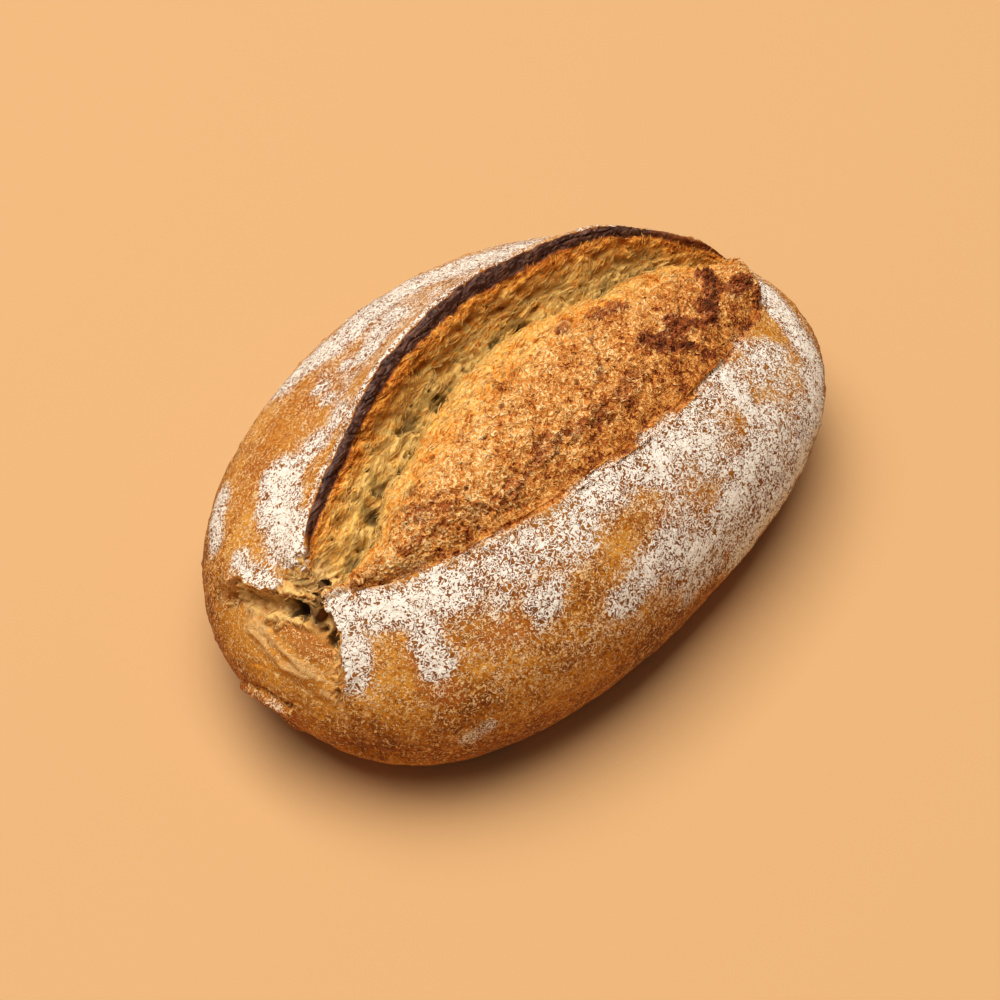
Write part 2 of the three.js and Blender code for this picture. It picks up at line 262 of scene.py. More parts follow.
def zonesAt(points):
    # where each kind of surface lies: share across the slash, torn crumb, crumb wall
    x = np.clip(points[..., 0], 1 - halfLength, halfLength - 1)
    cut = slashAt(sectionAt(x))
    share = (points[..., 1] - cut["right"]) / cut["gap"]
    upper = smooth(body["widest"], body["widest"] + 12, points[..., 2])
    torn = smooth(0, 0.08, share) * (1 - smooth(0.94, 1, share)) * cut["opened"] * upper
    wall = smooth(cut["shoulder"], cut["shoulder"] + 0.1, share)
    return dict(cut=cut, share=share, torn=torn, wall=wall)


def mainRelief(points, zones):
    # the relief that the solid has too
    torn, wall = zones["torn"], zones["wall"]
    lump = {kind: height * latticeNoise(points, size) for kind, (height, size) in lumps.items()}
    rough = lump["bloom"] * (1 - wall) + lump["wall"] * wall
    even = lump["crust"] * (1 - torn)
    parts = tearParts(points)
    opened = tear["lipRise"] * parts["lips"] * (1 - torn) - tear["step"] * parts["slipped"]
    opened = opened - parts["crackDepth"] * parts["crack"]
    return (even + rough * torn) * smooth(2, 14, points[..., 2]) + opened


def gridNormals(grid, wrap):
    # unit normals of a grid of points, stations first
    along = np.gradient(grid, axis=0)
    if wrap:
        around = (np.roll(grid, -1, 1) - np.roll(grid, 1, 1)) / 2
    else:
        around = np.gradient(grid, axis=1)
    normal = np.cross(along, around)
    return normal / np.maximum(np.linalg.norm(normal, axis=-1, keepdims=True), 1e-9)


print("form ready")

# noise for the fine relief

shuffle = np.random.default_rng(41).permutation(256)
slopes = np.random.default_rng(42).normal(size=(256, 3))
slopes /= np.linalg.norm(slopes, axis=1, keepdims=True)


def cellNumber(i, j, k):
    # a fixed random number from 0 to 255 for every cell of space
    return shuffle[(shuffle[(shuffle[i & 255] + j) & 255] + k) & 255]


def swirlNoise(points, size, seed=0):
    # gradient noise, about -1 to 1, in features half as wide as size
    scaled = points / size + seed * 7.31
    cell = np.floor(scaled).astype(np.int64)
    part = scaled - cell
    fade = part * part * part * (part * (part * 6 - 15) + 10)
    total = 0
    for corner in range(8):
        step = np.array([corner & 1, (corner >> 1) & 1, corner >> 2])
        weight = np.prod(np.where(step, fade, 1 - fade), -1)
        slope = slopes[cellNumber(*np.moveaxis(cell + step, -1, 0))]
        total = total + weight * np.sum(slope * (part - step), -1)
    return 1.6 * total


def layeredNoise(points, size, layers, seed=0, gain=0.55):
    total, height = 0, 1
    for layer in range(layers):
        total = total + height * swirlNoise(points, size / 2.03 ** layer, seed + layer)
        height *= gain
    return total


def cellNoise(points, size, seed=0):
    # distances to the nearest two scattered cell centres, in cells, and the nearest one's number
    scaled = points / size + seed * 5.17
    cell = np.floor(scaled).astype(np.int64)
    nearest = np.full(points.shape[:-1], 9.0)
    second = np.full(points.shape[:-1], 9.0)
    owner = np.zeros(points.shape[:-1])
    for i in (-1, 0, 1):
        for j in (-1, 0, 1):
            for k in (-1, 0, 1):
                other = cell + (i, j, k)
                number = cellNumber(*np.moveaxis(other + seed, -1, 0))
                centre = other + 0.5 + 0.42 * slopes[number]
                away = np.linalg.norm(scaled - centre, axis=-1)
                closer = away < nearest
                second = np.where(closer, nearest, np.minimum(second, away))
                nearest = np.where(closer, away, nearest)
                owner = np.where(closer, number / 255, owner)
    return nearest, second, owner


def poreNoise(points, size, seed=0):
    nearest, _, owner = cellNoise(points, size, seed)
    return nearest, owner


def webNoise(points, size, seed=0):
    # 1 on the thin walls between cells, 0 well inside a cell
    nearest, second, owner = cellNoise(points, size, seed)
    return 1 - smooth(0, 0.5, second - nearest), owner


def pathDistance(points, path):
    # distance to a path through a few named places
    nearest = np.full(points.shape[:-1], 1e9)
    path = [np.array(place, float) for place in path]
    for start, end in zip(path, path[1:] or path):
        span = end - start
        share = np.clip(((points - start) @ span) / max(span @ span, 1e-9), 0, 1)
        nearest = np.minimum(nearest, np.linalg.norm(points - start - share[..., None] * span, axis=-1))
    return nearest


def patchField(points, patches, raggedness=0.35, fade=(0.45, 1.25)):
    # soft ragged patches: the strongest of all at each point
    ragged = layeredNoise(points, 11, 3, seed=5)
    field = np.zeros(points.shape[:-1])
    for path, reach, strength in patches:
        away = pathDistance(points, path) / reach + raggedness * ragged
        field = np.maximum(field, strength * (1 - smooth(*fade, away)))
    return field


print("noise ready")

# pieces from grids of points


def makePiece(name, points, faces, attributes, material):
    mesh = bpy.data.meshes.new(name)
    mesh.vertices.add(len(points))
    mesh.vertices.foreach_set("co", (points * mm).astype(np.float32).ravel())
    loops = np.concatenate([np.asarray(f, np.int32).ravel() for f in faces])
    sizes = np.concatenate([np.full(len(f), np.shape(f)[1], np.int32) for f in faces])
    mesh.loops.add(len(loops))
    mesh.loops.foreach_set("vertex_index", loops)
    mesh.polygons.add(len(sizes))
    mesh.polygons.foreach_set("loop_start", np.concatenate([[0], np.cumsum(sizes)[:-1]]).astype(np.int32))
    mesh.update(calc_edges=True)
    mesh.validate()
    mesh.polygons.foreach_set("use_smooth", np.ones(len(mesh.polygons), bool))
    for key, values in attributes.items():
        layer = mesh.attributes.new(key, "FLOAT", "POINT")
        full = np.zeros(len(points), np.float32)
        full[:values.size] = values.ravel()
        layer.data.foreach_set("value", full)
    piece = bpy.data.objects.new(name, mesh)
    bpy.context.scene.collection.objects.link(piece)
    mesh.materials.append(material)
    print(name, "has", sum(size - 2 for size in sizes), "triangles")
    return piece


def gridFaces(rows, columns, wrap=False):
    i, j = np.meshgrid(np.arange(rows - 1), np.arange(columns if wrap else columns - 1), indexing="ij")
    after = (j + 1) % columns
    corners = [i * columns + j, (i + 1) * columns + j, (i + 1) * columns + after, i * columns + after]
    return np.stack([c.ravel() for c in corners], -1)


def patchPiece(name, grid, drop, keel, attributes, material):
    # a patch of skin closed below: its long edges go down by drop and meet in a keel inside the
    # loaf, at a share of the way across and a share of the height
    rows, columns = grid.shape[:2]
    flat = grid.reshape(-1, 3)
    right, left = grid[:, 0] - (0, 0, drop), grid[:, -1] - (0, 0, drop)
    middle = right + keel[0] * (left - right)
    middle[:, 2] = keel[1] * np.minimum(grid[:, 0, 2], grid[:, -1, 2])
    first = len(flat)
    r, m, l = (first + rows * step + np.arange(rows) for step in range(3))
    top = np.arange(rows * columns).reshape(rows, columns)
    strips = [(r, top[:, 0]), (top[:, -1], l), (l, m), (m, r)]
    quads = [gridFaces(rows, columns)]
    quads += [np.stack([a[:-1], a[1:], b[1:], b[:-1]], -1) for a, b in strips]
    fans = []
    for row, turn in ((0, 1), (rows - 1, -1)):
        line = np.concatenate([[r[row]], top[row], [l[row]]])
        fan = np.stack([np.full(len(line) - 1, m[row]), line[:-1], line[1:]], -1)
        fans.append(fan[:, ::turn])
    return makePiece(name, np.concatenate([flat, right, middle, left]), quads + fans, attributes, material)


# the baked skin: fine relief and what each place of it looks like

# flour lies in patches: a path over the crust, how far it reaches to its sides, how dense it is
flourPatches = [
    ([(-76, 40, 73), (-91, 30, 72), (-100, 18, 73)], 9, 0.96),
    ([(-107, 36, 60), (-109, 24, 63), (-109, 17, 65)], 5, 0.64),
    ([(-85, 63, 54), (-100, 53, 52)], 5.5, 0.82),
    ([(-34, 71, 58), (-12, 68, 68), (9, 66, 70), (24, 64, 69), (34, 57, 71), (49, 47, 74), (68, 40, 72)],
     10, 0.74),
    ([(-92, 26, 76), (-66, 38, 83), (-36, 45, 87), (0, 51, 87), (40, 48, 84)], 5, 0.34),
    ([(-24, 47, 83), (0, 53, 79)], 6, 0.6),
    ([(-39, 54, 75)], 4, 0.75),
    ([(-45, 47, 79)], 3.5, 0.75),
    ([(-28, 52, 78)], 3.5, 0.75),
    ([(-66, 38, 78), (-51, 36, 87)], 6, 0.5),
    ([(-105, -6, 69), (-112, -15, 63), (-118, -22, 56)], 5, 0.93),
    ([(-100, -17, 69), (-92, -26, 70), (-84, -32, 71)], 8, 0.96),
    ([(-95, -33, 67), (-100, -37, 63), (-101, -42, 59)], 6, 0.85),
    ([(-80, -36, 72), (-68, -39, 74), (-55, -46, 75), (-40, -51, 75)], 10, 0.44),
    ([(-37, -51, 76), (-27, -50, 77), (-19, -53, 76)], 6.5, 0.56),
    ([(-74, -47, 69)], 7, 0.5),
    ([(-66, -58, 66), (-61, -56, 68)], 7, 0.62),
    ([(-44, -75, 56), (-31, -76, 58), (-16, -75, 60)], 5.5, 0.6),
    ([(-3, -58, 74), (10, -59, 74), (24, -61, 72)], 7, 0.66),
    ([(18, -69, 67)], 6, 0.7),
    ([(50, -54, 72), (46, -69, 64)], 3.5, 1.0),
    ([(55, -75, 57), (39, -76, 58), (28, -80, 55), (14, -81, 54), (0, -82, 51), (-11, -81, 52)], 7, 0.74),
    ([(109, -35, 55), (100, -51, 54), (95, -65, 49), (79, -77, 44), (54, -84, 39), (13, -86, 34)], 8, 0.9),
    ([(70, -80, 46), (40, -84, 46), (10, -86, 44), (-15, -84, 42)], 8, 0.5),
    ([(78, -60, 61), (72, -52, 67)], 7, 0.3),
    ([(20, -56, 75), (36, -55, 74)], 6, 0.42),
    ([(121, 20, 48), (104, 48, 50), (78, 62, 55)], 10, 0.75),
    ([(40, 82, 40), (0, 86, 36), (-40, 84, 38)], 14, 0.5),
    ([(-104, -57, 34), (-98, -61, 38)], 4, 0.5),
    ([(-105, -46, 54)], 3.5, 0.3),
    ([(-130, 15, 31), (-131, 0, 34)], 3, 0.3)]

# bare brown crust between them
barePatches = [
    ([(-52, -66, 64), (-36, -66, 68), (-22, -66, 70)], 7, 0.5),
    ([(76, -44, 66), (86, -46, 63), (92, -52, 58)], 8, 0.7),
    ([(-104, -38, 60), (-106, -46, 54)], 6, 0.7),
    ([(-70, 50, 70), (-40, 62, 70)], 9, 0.3)]

# places where the crumb's crest is burnt
burnPatches = [
    ([(-44, -31, 84), (-23, -30, 87), (-9, -33, 86), (4, -36, 86)], 3.6, 0.46),
    ([(-96, -8, 74), (-81, -15, 79), (-64, -22, 84), (-45, -31, 83)], 3.6, 0.32),
    ([(1, -34, 87), (10, -37, 86), (23, -36, 86)], 4, 0.42),
    ([(36, -29, 87), (38, -34, 86), (48, -36, 82)], 5, 0.85),
    ([(49, -30, 82), (57, -33, 80), (66, -36, 76)], 4, 0.8),
    ([(91, -21, 71), (84, -26, 74), (78, -31, 75)], 5, 0.9),
    ([(78, -31, 75), (70, -33, 75), (67, -37, 75)], 3.5, 0.85),
    ([(90, -31, 70), (98, -30, 67), (99, -36, 64)], 4, 0.7),
    ([(104, -14, 64), (108, -20, 62)], 4, 0.5),
    ([(-75, -11, 83), (-62, -19, 85)], 4, 0.4),
    ([(35, -9, 86), (44, -11, 85)], 4.5, 0.5),
    ([(22, -4, 87)], 3, 0.6)]

# open holes under the cross tear, and the seam and the bulge of the slipped crust past it
tearHoles = [([(-112, 33, 46), (-112, 31, 48)], 2.6, 1.0), ([(-112, 23, 53), (-112, 20, 55)], 2.8, 1.0),
             ([(-111, 8, 63), (-110, 6, 64)], 3.0, 1.0), ([(-116, -2, 59), (-116, -3, 59)], 1.6, 0.7)]
endStreak = [(-119, 19, 51), (-123, 2, 51), (-123, -11, 48), (-122, -18, 47)]
endBulge = [(-118, 1, 55)]

# reddish, harder baked crust, and a painted shade under the fold of crust low on the near end
stainsAndFoldShade = [
    ([(-66, 42, 75), (-45, 50, 77), (-26, 52, 79)], 9, 0.6),
    ([(-84, 52, 64), (-52, 58, 71), (-20, 64, 72), (22, 64, 68)], 11, 0.5),
    ([(-117, 8, 57), (-119, -1, 57), (-118, -8, 56)], 4.5, 0.65),
    ([(-104, -37, 60), (-106, -43, 55), (-104, -48, 52)], 6, 0.85),
    # painted shade, reddish, under the fold of crust
    ([(-127, 21, 25), (-130, 8, 31), (-130, -3, 32)], 3.5, 0.9),
    ([(-84, -53, 62), (-76, -56, 64)], 6, 0.6),
    ([(-10, -68, 68), (6, -70, 67)], 8, 0.4)]

baseFold = [(-127, 21, 27), (-130, 8, 33), (-130, -3, 34)]   # a fold of crust low on the near end
slashCorner = [(-109, 9), (-99, 6)]   # where the slash runs into the cross tear

skin = dict(
    # flour: amounts from 0 to 1, then the size of the patches they vary in
    dust=(0.06, 0.4), dustLeft=0.8, dustPatch=(0.4, 20), lipSpill=(4, 22),
    earDust=(0.34, 10.95, 0.3),   # amount, line code and width in lines, along the edge of the ear
    # crust: height of each form, then the size of its pattern or its reach
    crustWave=(0.4, 14), crustGrain=(0.2, 2.6), blister=(0.4, 5.0, 0.3), flourThick=0.3,
    seamRidge=(1.2, 2.6, 1.3), seamGroove=(1.5, 1.2), bulge=(1.8, 9),
    foldRidge=(2.0, 1.7), foldGroove=(1.8, 1.0), grooveStep=(0.6, 0, 3.0),
    # bloom: height and size; the third value is steps of a flake, length of a strand, reach of a pit
    # in cells and width of a crack
    lipRagged=(2.5, 11), creaseFill=1.7, burntRough=2.6, cragHeight=1.6, cragSize=9, grain=(0.6, 2.0),
    flake=(0.7, 9, 3.5), strand=(0.9, 1.7, 14), pit=(1.2, 4.6, 0.3), crack=(0.8, 46, 0.02),
    # wall of crumb
    cellWarp=(2.5, 13), drawn=2.2, bigCell=(3.0, 6.0), smallCell=(1.0, 2.2),
    fibre=(0.7, 1.2, 7), hole=(5.5, 5.0, 0.5), smallHole=(2.0, 3.0, 0.36),
    # charred rim
    rimWave=(0.7, 14), rimGrain=(0.5, 2.2), rimDrawn=2, rimCrack=(1.0, 9, 0.06),
    # cross tear
    tearRough=(1.5, 6), tearSink=1.8, tearHole=5, crackFill=0.45, cornerReach=7.5, cornerDepth=2.5,
    overhang=1.6)

# how far baked the torn crumb is, by line code, from the right lip (0) to the rim (9)
bakeStops = [(0, 0.6), (1, 0.58), (1.8, 0.48), (2.4, 0.38), (4, 0.34), (4.8, 0.25), (5.5, 0.18),
             (6.5, 0.14), (7.3, 0.08), (7.9, 0.13), (8.5, 0.33), (8.9, 0.72)]


def bump(away, reach):
    # 1 at no distance, fading away over the reach
    return np.exp(-(away / reach) ** 2)


def raggedEdge(points):
    height, size = skin["lipRagged"]
    return height * layeredNoise(points, size, 3, seed=1)


def crustRelief(points, flour, stretched):
    blisterHeight, blisterSize, blisterReach = skin["blister"]
    away, owner = poreNoise(points, blisterSize, 3)
    fine = blisterHeight * np.maximum(0, 1 - (away / blisterReach) ** 2) * (owner > 0.55)
    fine += skin["crustWave"][0] * layeredNoise(points, skin["crustWave"][1], 2, seed=3)
    fine += skin["crustGrain"][0] * layeredNoise(points, skin["crustGrain"][1], 2, seed=4)
    fine += skin["flourThick"] * flour

    # the seam that runs round the slipped end crust, and the bulge above it
    ridgeHeight, ridgeAway, ridgeReach = skin["seamRidge"]
    grooveDepth, grooveReach = skin["seamGroove"]
    away = pathDistance(points, endStreak) + 0.8 * layeredNoise(points, 9, 2, seed=23)
    seam = bump(away - ridgeAway, ridgeReach)
    fine += ridgeHeight * seam - grooveDepth * bump(away, grooveReach)
    fine += skin["bulge"][0] * bump(pathDistance(points, endBulge), skin["bulge"][1])
    height, thin, long = skin["strand"]
    strand = np.abs(layeredNoise(points / (thin, long, thin), 2.2, 2, seed=22))
    stretched = stretched * (0.2 + 0.8 * bump(pathDistance(points, endStreak), 7))
    fine += 0.4 * height * (0.4 - strand) * stretched

    # a fold of crust: a ridge with a groove just above it
    wander = 0.8 * layeredNoise(points, 5, 2, seed=9)
    fromRidge = pathDistance(points, baseFold) + wander
    fromGroove = pathDistance(points - skin["grooveStep"], baseFold) + wander
    ridgeHeight, ridgeReach = skin["foldRidge"]
    grooveDepth, grooveReach = skin["foldGroove"]
    fine += ridgeHeight * bump(fromRidge, ridgeReach) - grooveDepth * bump(fromGroove, grooveReach)
    # the second value: paler crests of the stretched strands, and a painted highlight along the seam's ridge
    return fine, (1 - 4 * strand) * stretched + 0.9 * seam


def bloomRelief(points, code, grain):
    # crags, torn flakes, pits and a few cracks; drawn out into strands down the slope to the lip
    crag = layeredNoise(points, skin["cragSize"], 2, seed=6)
    crag = skin["cragHeight"] * (0.5 - 1.1 * np.abs(crag))
    height, size, steps = skin["flake"]
    wave = steps * layeredNoise(points, size, 3, seed=10)
    flake = height * (wave - np.floor(wave) - 0.5)
    height, thin, long = skin["strand"]
    strand = np.abs(layeredNoise(points / (long, thin, thin), 1.0, 2, seed=21))
    strand = height * (0.5 - 1.1 * strand)
    depth, size, reach = skin["pit"]
    away, owner = poreNoise(points, size, 5)
    pit = depth * np.maximum(0, 1 - (away / (reach * (0.35 + 0.65 * owner))) ** 2) * (owner > 0.72)
    depth, size, width = skin["crack"]
    line = layeredNoise(points, size, 3, seed=12, gain=0.4)
    crack = depth * bump(line, width) * smooth(1.8, 2.6, code) * (1 - smooth(4.2, 4.8, code))
    upper = smooth(0.9, 1.9, code)
    fine = (0.4 + 0.6 * upper) * (crag + grain) + upper * flake + (1 - upper) * strand
    # the second value is painted shade in the pits and cracks
    return fine - pit * (0.4 + 0.6 * upper) - crack, (pit + crack) / 1.5


def wallRelief(points, code, grain):
    # open crumb: rounded cells with thin torn walls, drawn out lengthwise, deep holes at the foot
    x, y, z = np.moveaxis(points, -1, 0)
    warp = skin["cellWarp"][0] * layeredNoise(points, skin["cellWarp"][1], 2, seed=14)
    drawn = np.stack([(x + 0.4 * z + warp) / skin["drawn"], y + 0.6 * warp, z - 0.6 * warp], -1)
    bigDepth, size = skin["bigCell"]
    web, owner = webNoise(drawn, size, 15)
    cells = bigDepth * (1 - web) * owner
    smallDepth, size = skin["smallCell"]
    fineWeb, owner = webNoise(drawn, size, 16)
    cells = cells + smallDepth * (1 - fineWeb) * owner
    depth, size, reach = skin["hole"]
    away, owner = poreNoise(drawn + 0.8 * grain[..., None], size, 7)
    low = 0.12 + 0.88 * (1 - smooth(7.0, 7.9, code))
    reach = reach * (0.35 + 0.65 * owner) * (1 + 0.5 * smooth(-60, -90, x))
    hole = depth * low * np.maximum(0, 1 - (away / reach) ** 2) * (owner > 0.35)
    depth, size, reach = skin["smallHole"]
    away, owner = poreNoise(points + 0.6 * grain[..., None], size, 8)
    hole = hole + depth * np.maximum(0, 1 - (away / reach) ** 2) * (owner > 0.45)
    recess = smooth(0.45, 0.8, cells / (bigDepth + smallDepth)) * (1 - smooth(7.4, 8.2, code))
    height, thin, long = skin["fibre"]
    along = np.stack([(x + 0.3 * z + warp) / long, y / thin, z / thin], -1)
    fibre = 1 - 2.2 * np.abs(layeredNoise(along, 1, 2, seed=24))
    fine = bigDepth * 0.5 + 0.5 * grain + height * fibre - cells - hole
    # painted shade for the deep holes and the recessed cells
    hollow = np.maximum(smooth(0.6, 2.4, hole), 0.7 * recess)
    # the third value: painted light on the fibres and thin cell walls, painted shade between them
    return fine, hollow, 0.7 * fibre + 0.8 * fineWeb - 0.5


def rimRelief(points):
    # baked hard: broad waves, fine wrinkles and a few cracks along the rim
    fine = skin["rimWave"][0] * layeredNoise(points, skin["rimWave"][1], 2, seed=18)
    drawn = points / (skin["rimDrawn"], 1, 1)
    fine += skin["rimGrain"][0] * (0.4 - 1.3 * np.abs(layeredNoise(drawn, skin["rimGrain"][1], 3, seed=19)))
    depth, size, width = skin["rimCrack"]
    return fine - depth * bump(layeredNoise(drawn, size, 2, seed=20), width)


def crossTear(points, fromRight):
    # how much of each place is cliff under the left lip, step under the right one, slot or torn edge
    y = points[..., 1]
    parts = tearParts(points)
    high, past = parts["high"], parts["past"]
    height, size = skin["tearRough"]
    rough = height * layeredNoise(points, size, 4, seed=2, gain=0.65)
    leftSide = smooth(-4, 2, y)
    ragged = past + rough + skin["tearSink"] * leftSide
    cliff = high * leftSide * smooth(-0.3, 0.6, ragged)
    broken = 0.35 + 0.65 * smooth(-0.15, 0.3, layeredNoise(points, 13, 2, seed=33))
    slot = cliff * (1 - smooth(2.0, 4.2, ragged)) * broken
    middle = bump(y - tear["cavityPlace"] - 3, 14)
    ledge = cliff * (1 - smooth(3.5 + 4 * middle, 6 + 6 * middle, ragged + 1.5 * rough))
    steep = high * (smooth(-0.2, 1.1, ragged) - smooth(0, tear["stepWidth"], past))
    steep = steep * np.exp(-np.maximum(past, 0) / tear["stepReach"])
    corner = pathDistance(points[..., :2], slashCorner) / skin["cornerReach"] + 0.3 * rough
    corner = (1 - smooth(0.75, 1.0, corner)) * smooth(-1, 1.5, fromRight)
    flap = high * (1 - leftSide) * smooth(tear["rightEnd"][0], tear["rightEnd"][0] + 14, y)
    flapTorn = flap * smooth(-0.3, 0.4, ragged) * (1 - smooth(5, 8, ragged + rough))
    flapEdge = high * smooth(-0.8, -0.3, ragged) * (1 - smooth(0.6, 1.6, ragged))
    torn = np.maximum(np.maximum(ledge, corner), np.maximum(flapTorn, 0.9 * flapEdge))
    return dict(parts, ragged=ragged, broken=broken, slot=slot, ledge=ledge, steep=steep, corner=corner,
                flap=flap, flapEdge=flapEdge, torn=torn)


def flourCover(points, code, zones, cross, fromRight, opened):
    # flour on the crust: patches over a thin dust, both fading out where the crust tore
    x, z = points[..., 0], points[..., 2]
    left = smooth(0.4, 0.6, zones["share"])
    low, gain = skin["dust"]
    dust = low + gain * smooth(26, 62, z) * (0.45 + 0.55 * smooth(-70, -10, x))
    dust = dust * (1 - (1 - skin["dustLeft"]) * left * (1 - smooth(70, 100, x)))
    amount, size = skin["dustPatch"]
    dust = dust * (1 + amount * layeredNoise(points, size, 2, seed=30))
    dust = dust * (1 - 0.35 * cross["high"] * smooth(0, 3, cross["past"]))
    dust = dust * (1 - patchField(points, barePatches))
    reach, size = skin["lipSpill"]
    spilt = fromRight + reach * (layeredNoise(points, size, 2, seed=31) - 0.4)
    lipFade = opened * smooth(-1.0, 2.5, spilt) * (1 - left)
    dust = dust * (1 - lipFade)
    amount, line, width = skin["earDust"]
    dust = dust + amount * opened * bump(code - line, width) * (1 - smooth(10, 50, x))
    flour = patchField(points, flourPatches, 0.35, (0.2, 1.5))
    flour = flour * (1 - cross["high"] * smooth(0, 1.0, cross["ragged"])) * (1 - lipFade)
    return np.clip(dust + flour * (1 - dust), 0, 1)


def bakedSkin(points, code):
    # relief along the normal, shift along X, and what the surface looks like
    zones = zonesAt(points)
    cut, wall = zones["cut"], zones["wall"]
    opened = smooth(0.05, 0.4, cut["opened"])
    x, y, z = np.moveaxis(points, -1, 0)

    # torn crumb from the ragged right lip up to the charred rim
    ragged = raggedEdge(points)
    fromRight = y - cut["right"] + ragged
    torn = smooth(-0.1, 0.7, fromRight) * (code < 9.4) * (code > -1.5) * opened
    rimStart = 9.0 - 0.1 * smooth(-50, 30, x)
    rim = smooth(-0.1, 0.5, code - rimStart + 0.1 * ragged) * (1 - smooth(10.6, 10.8, code + 0.1 * ragged))
    rim = rim * smooth(-104, -88, x) * (1 - 0.3 * smooth(80, 108, x))
    cross = crossTear(points, fromRight)
    past, crossTorn, flapEdge = cross["past"], cross["torn"], cross["flapEdge"]

    flour = flourCover(points, code, zones, cross, fromRight, opened)
    flour = flour * (1 - torn * smooth(6, 11, fromRight)) * (1 - rim)
    flour = flour * (1 - crossTorn) * (1 - 0.7 * flapEdge)
    burn = patchField(points, burnPatches, 0.8) * torn * (1 - wall)
    holes = patchField(points, tearHoles, 0.25)
    stretched = cross["high"] * smooth(1, 6, past) * (1 - smooth(16, 34, past)) * (1 - torn)

    # relief of each kind of surface, then all of it put together
    height, size = skin["grain"]
    grain = height * (0.4 - 1.5 * np.abs(layeredNoise(points, size, 2, seed=8, gain=0.7)))
    crustFine, strandShading = crustRelief(points, flour, stretched)
    bloomFine, bloomHoleShade = bloomRelief(points, code, grain)
    bloomFine = bloomFine * (1 + skin["burntRough"] * burn)
    wallFine, wallHoleShade, fibreShading = wallRelief(points, code, grain)
    wallShare = smooth(4.6, 5.6, code)
    inward = smooth(0, 3.5, fromRight)
    crumbFine = bloomFine * (0.15 + 0.85 * inward) * (1 - wallShare) + wallFine * wallShare
    crossFine = 0.8 * wallFine - 0.6 * cross["slot"] + 3.0 * cross["ledge"] * (1 - cross["broken"])
    crossFine = crossFine - skin["tearHole"] * holes
    crossFine = crossFine + skin["crackFill"] * cross["crackDepth"] * cross["crack"]
    fine = crustFine * ((1 - torn) * (1 - rim) * (1 - crossTorn))
    fine = fine + crumbFine * torn * (1 - rim) * (1 - crossTorn)
    fine = fine + skin["creaseFill"] * bump(code - 1.0, 0.8) * torn * inward
    fine = fine + rimRelief(points) * rim + crossFine * crossTorn * (1 - rim) - tear["step"] * cross["steep"]
    fine = fine - skin["cornerDepth"] * cross["corner"] * (1 - torn)
    fine = fine * smooth(1.0, 8, z)
    overhang = -skin["overhang"] * cross["high"] * bump(cross["ragged"] + 0.9, 1.3)

    # how far baked each place is, its painted shade in pits, cracks, holes, recessed cells, the valley's
    # foot and the slot under the cross tear's lip, and its painted light and shade on ridges
    bake = between(bakeStops, code) + 0.1 * smooth(-40, 60, x) * (1 - wall)
    bake = bake * torn + patchField(points, stainsAndFoldShade, 0.6) * (1 - torn)
    bake = bake * (1 - crossTorn) + crossTorn * (0.16 + 0.4 * smooth(5, 11, past) + 0.6 * flapEdge)
    # the valley's foot painted darker in patches, as painted shade
    foot = smooth(5.4, 6.4, code) * (1 - smooth(7.2, 8.3, code))
    foot = foot * (0.45 + 0.9 * smooth(-0.15, 0.35, layeredNoise(points, 12, 3, seed=34)))
    hollow = bloomHoleShade * (1 - wallShare) + (wallHoleShade + 0.7 * foot) * wallShare
    # under the cross tear: painted shade in the slot under the lip and in the open holes
    hollow = hollow * torn * (1 - crossTorn) + crossTorn * (wallHoleShade + 0.3 * cross["slot"] + 0.8 * holes)
    bared = np.maximum(torn, crossTorn)
    # painted light and shade from the relief: paler on crests, darker in pits and between fibres; on the
    # crust, the strands' crests and the seam's painted highlight
    ridge = (2 * grain / skin["grain"][0]) * (1 - wallShare) + fibreShading * wallShare
    ridge = ridge * bared + strandShading * (1 - bared)
    # the right flap's torn edge charred dark: partly its browner edge, partly painted shade on the side of
    # its step
    char = rim + 0.6 * flapEdge * cross["flap"] * smooth(-14, -4, y) * (1 - torn)
    wall = np.maximum(smooth(3.7, 5.4, code) * torn, crossTorn)
    looks = dict(flour=flour, torn=np.clip(bared, 0, 1), bake=bake, char=np.clip(char, 0, 1), burn=burn,
                 hollow=np.clip(hollow, 0, 1), ridge=np.clip(ridge, -1, 1), stretch=stretched,
                 wall=np.clip(wall, 0, 1), upper=smooth(0.9, 1.9, code), cross=np.clip(crossTorn, 0, 1))
    return mainRelief(points, zones) + fine, overhang, looks


# where the pieces of skin meet

seams = dict(lipMargin=3.2, nearPlace=(-95, -92), farPlace=(113, 116), wallCode=(8.62, 8.8),
             earCode=(12.2, 12.8), tearLeft=(54, 57), tearRight=(-44, -41), tearNear=(-127.4, -126.2),
             tearLow=(20, 26), band=1.5, patchDive=0.2, crustSink=2.2)


def pieceShares(points, code):
    # how far each point lies inside the crumb, the ear and the torn end
    x, y, z = np.moveaxis(points, -1, 0)
    cut = slashAt(sectionAt(np.clip(x, 1 - halfLength, halfLength - 1)))
    past = y - cut["right"] + raggedEdge(points) + seams["lipMargin"]
    right = smooth(-seams["band"], seams["band"], past)
    near = smooth(*seams["nearPlace"], x)
    far = 1 - smooth(*seams["farPlace"], x)
    wallTop = smooth(*seams["wallCode"], code)
    earOut = 1 - smooth(*seams["earCode"], code)
    end = (1 - near) * (1 - smooth(*seams["tearLeft"], y)) * smooth(*seams["tearRight"], y)
    return dict(crumb=right * near * far * (1 - wallTop), ear=wallTop * earOut * near * far,
                tornEnd=end * smooth(*seams["tearNear"], x) * smooth(*seams["tearLow"], z))


skins = []   # what small things are scattered on


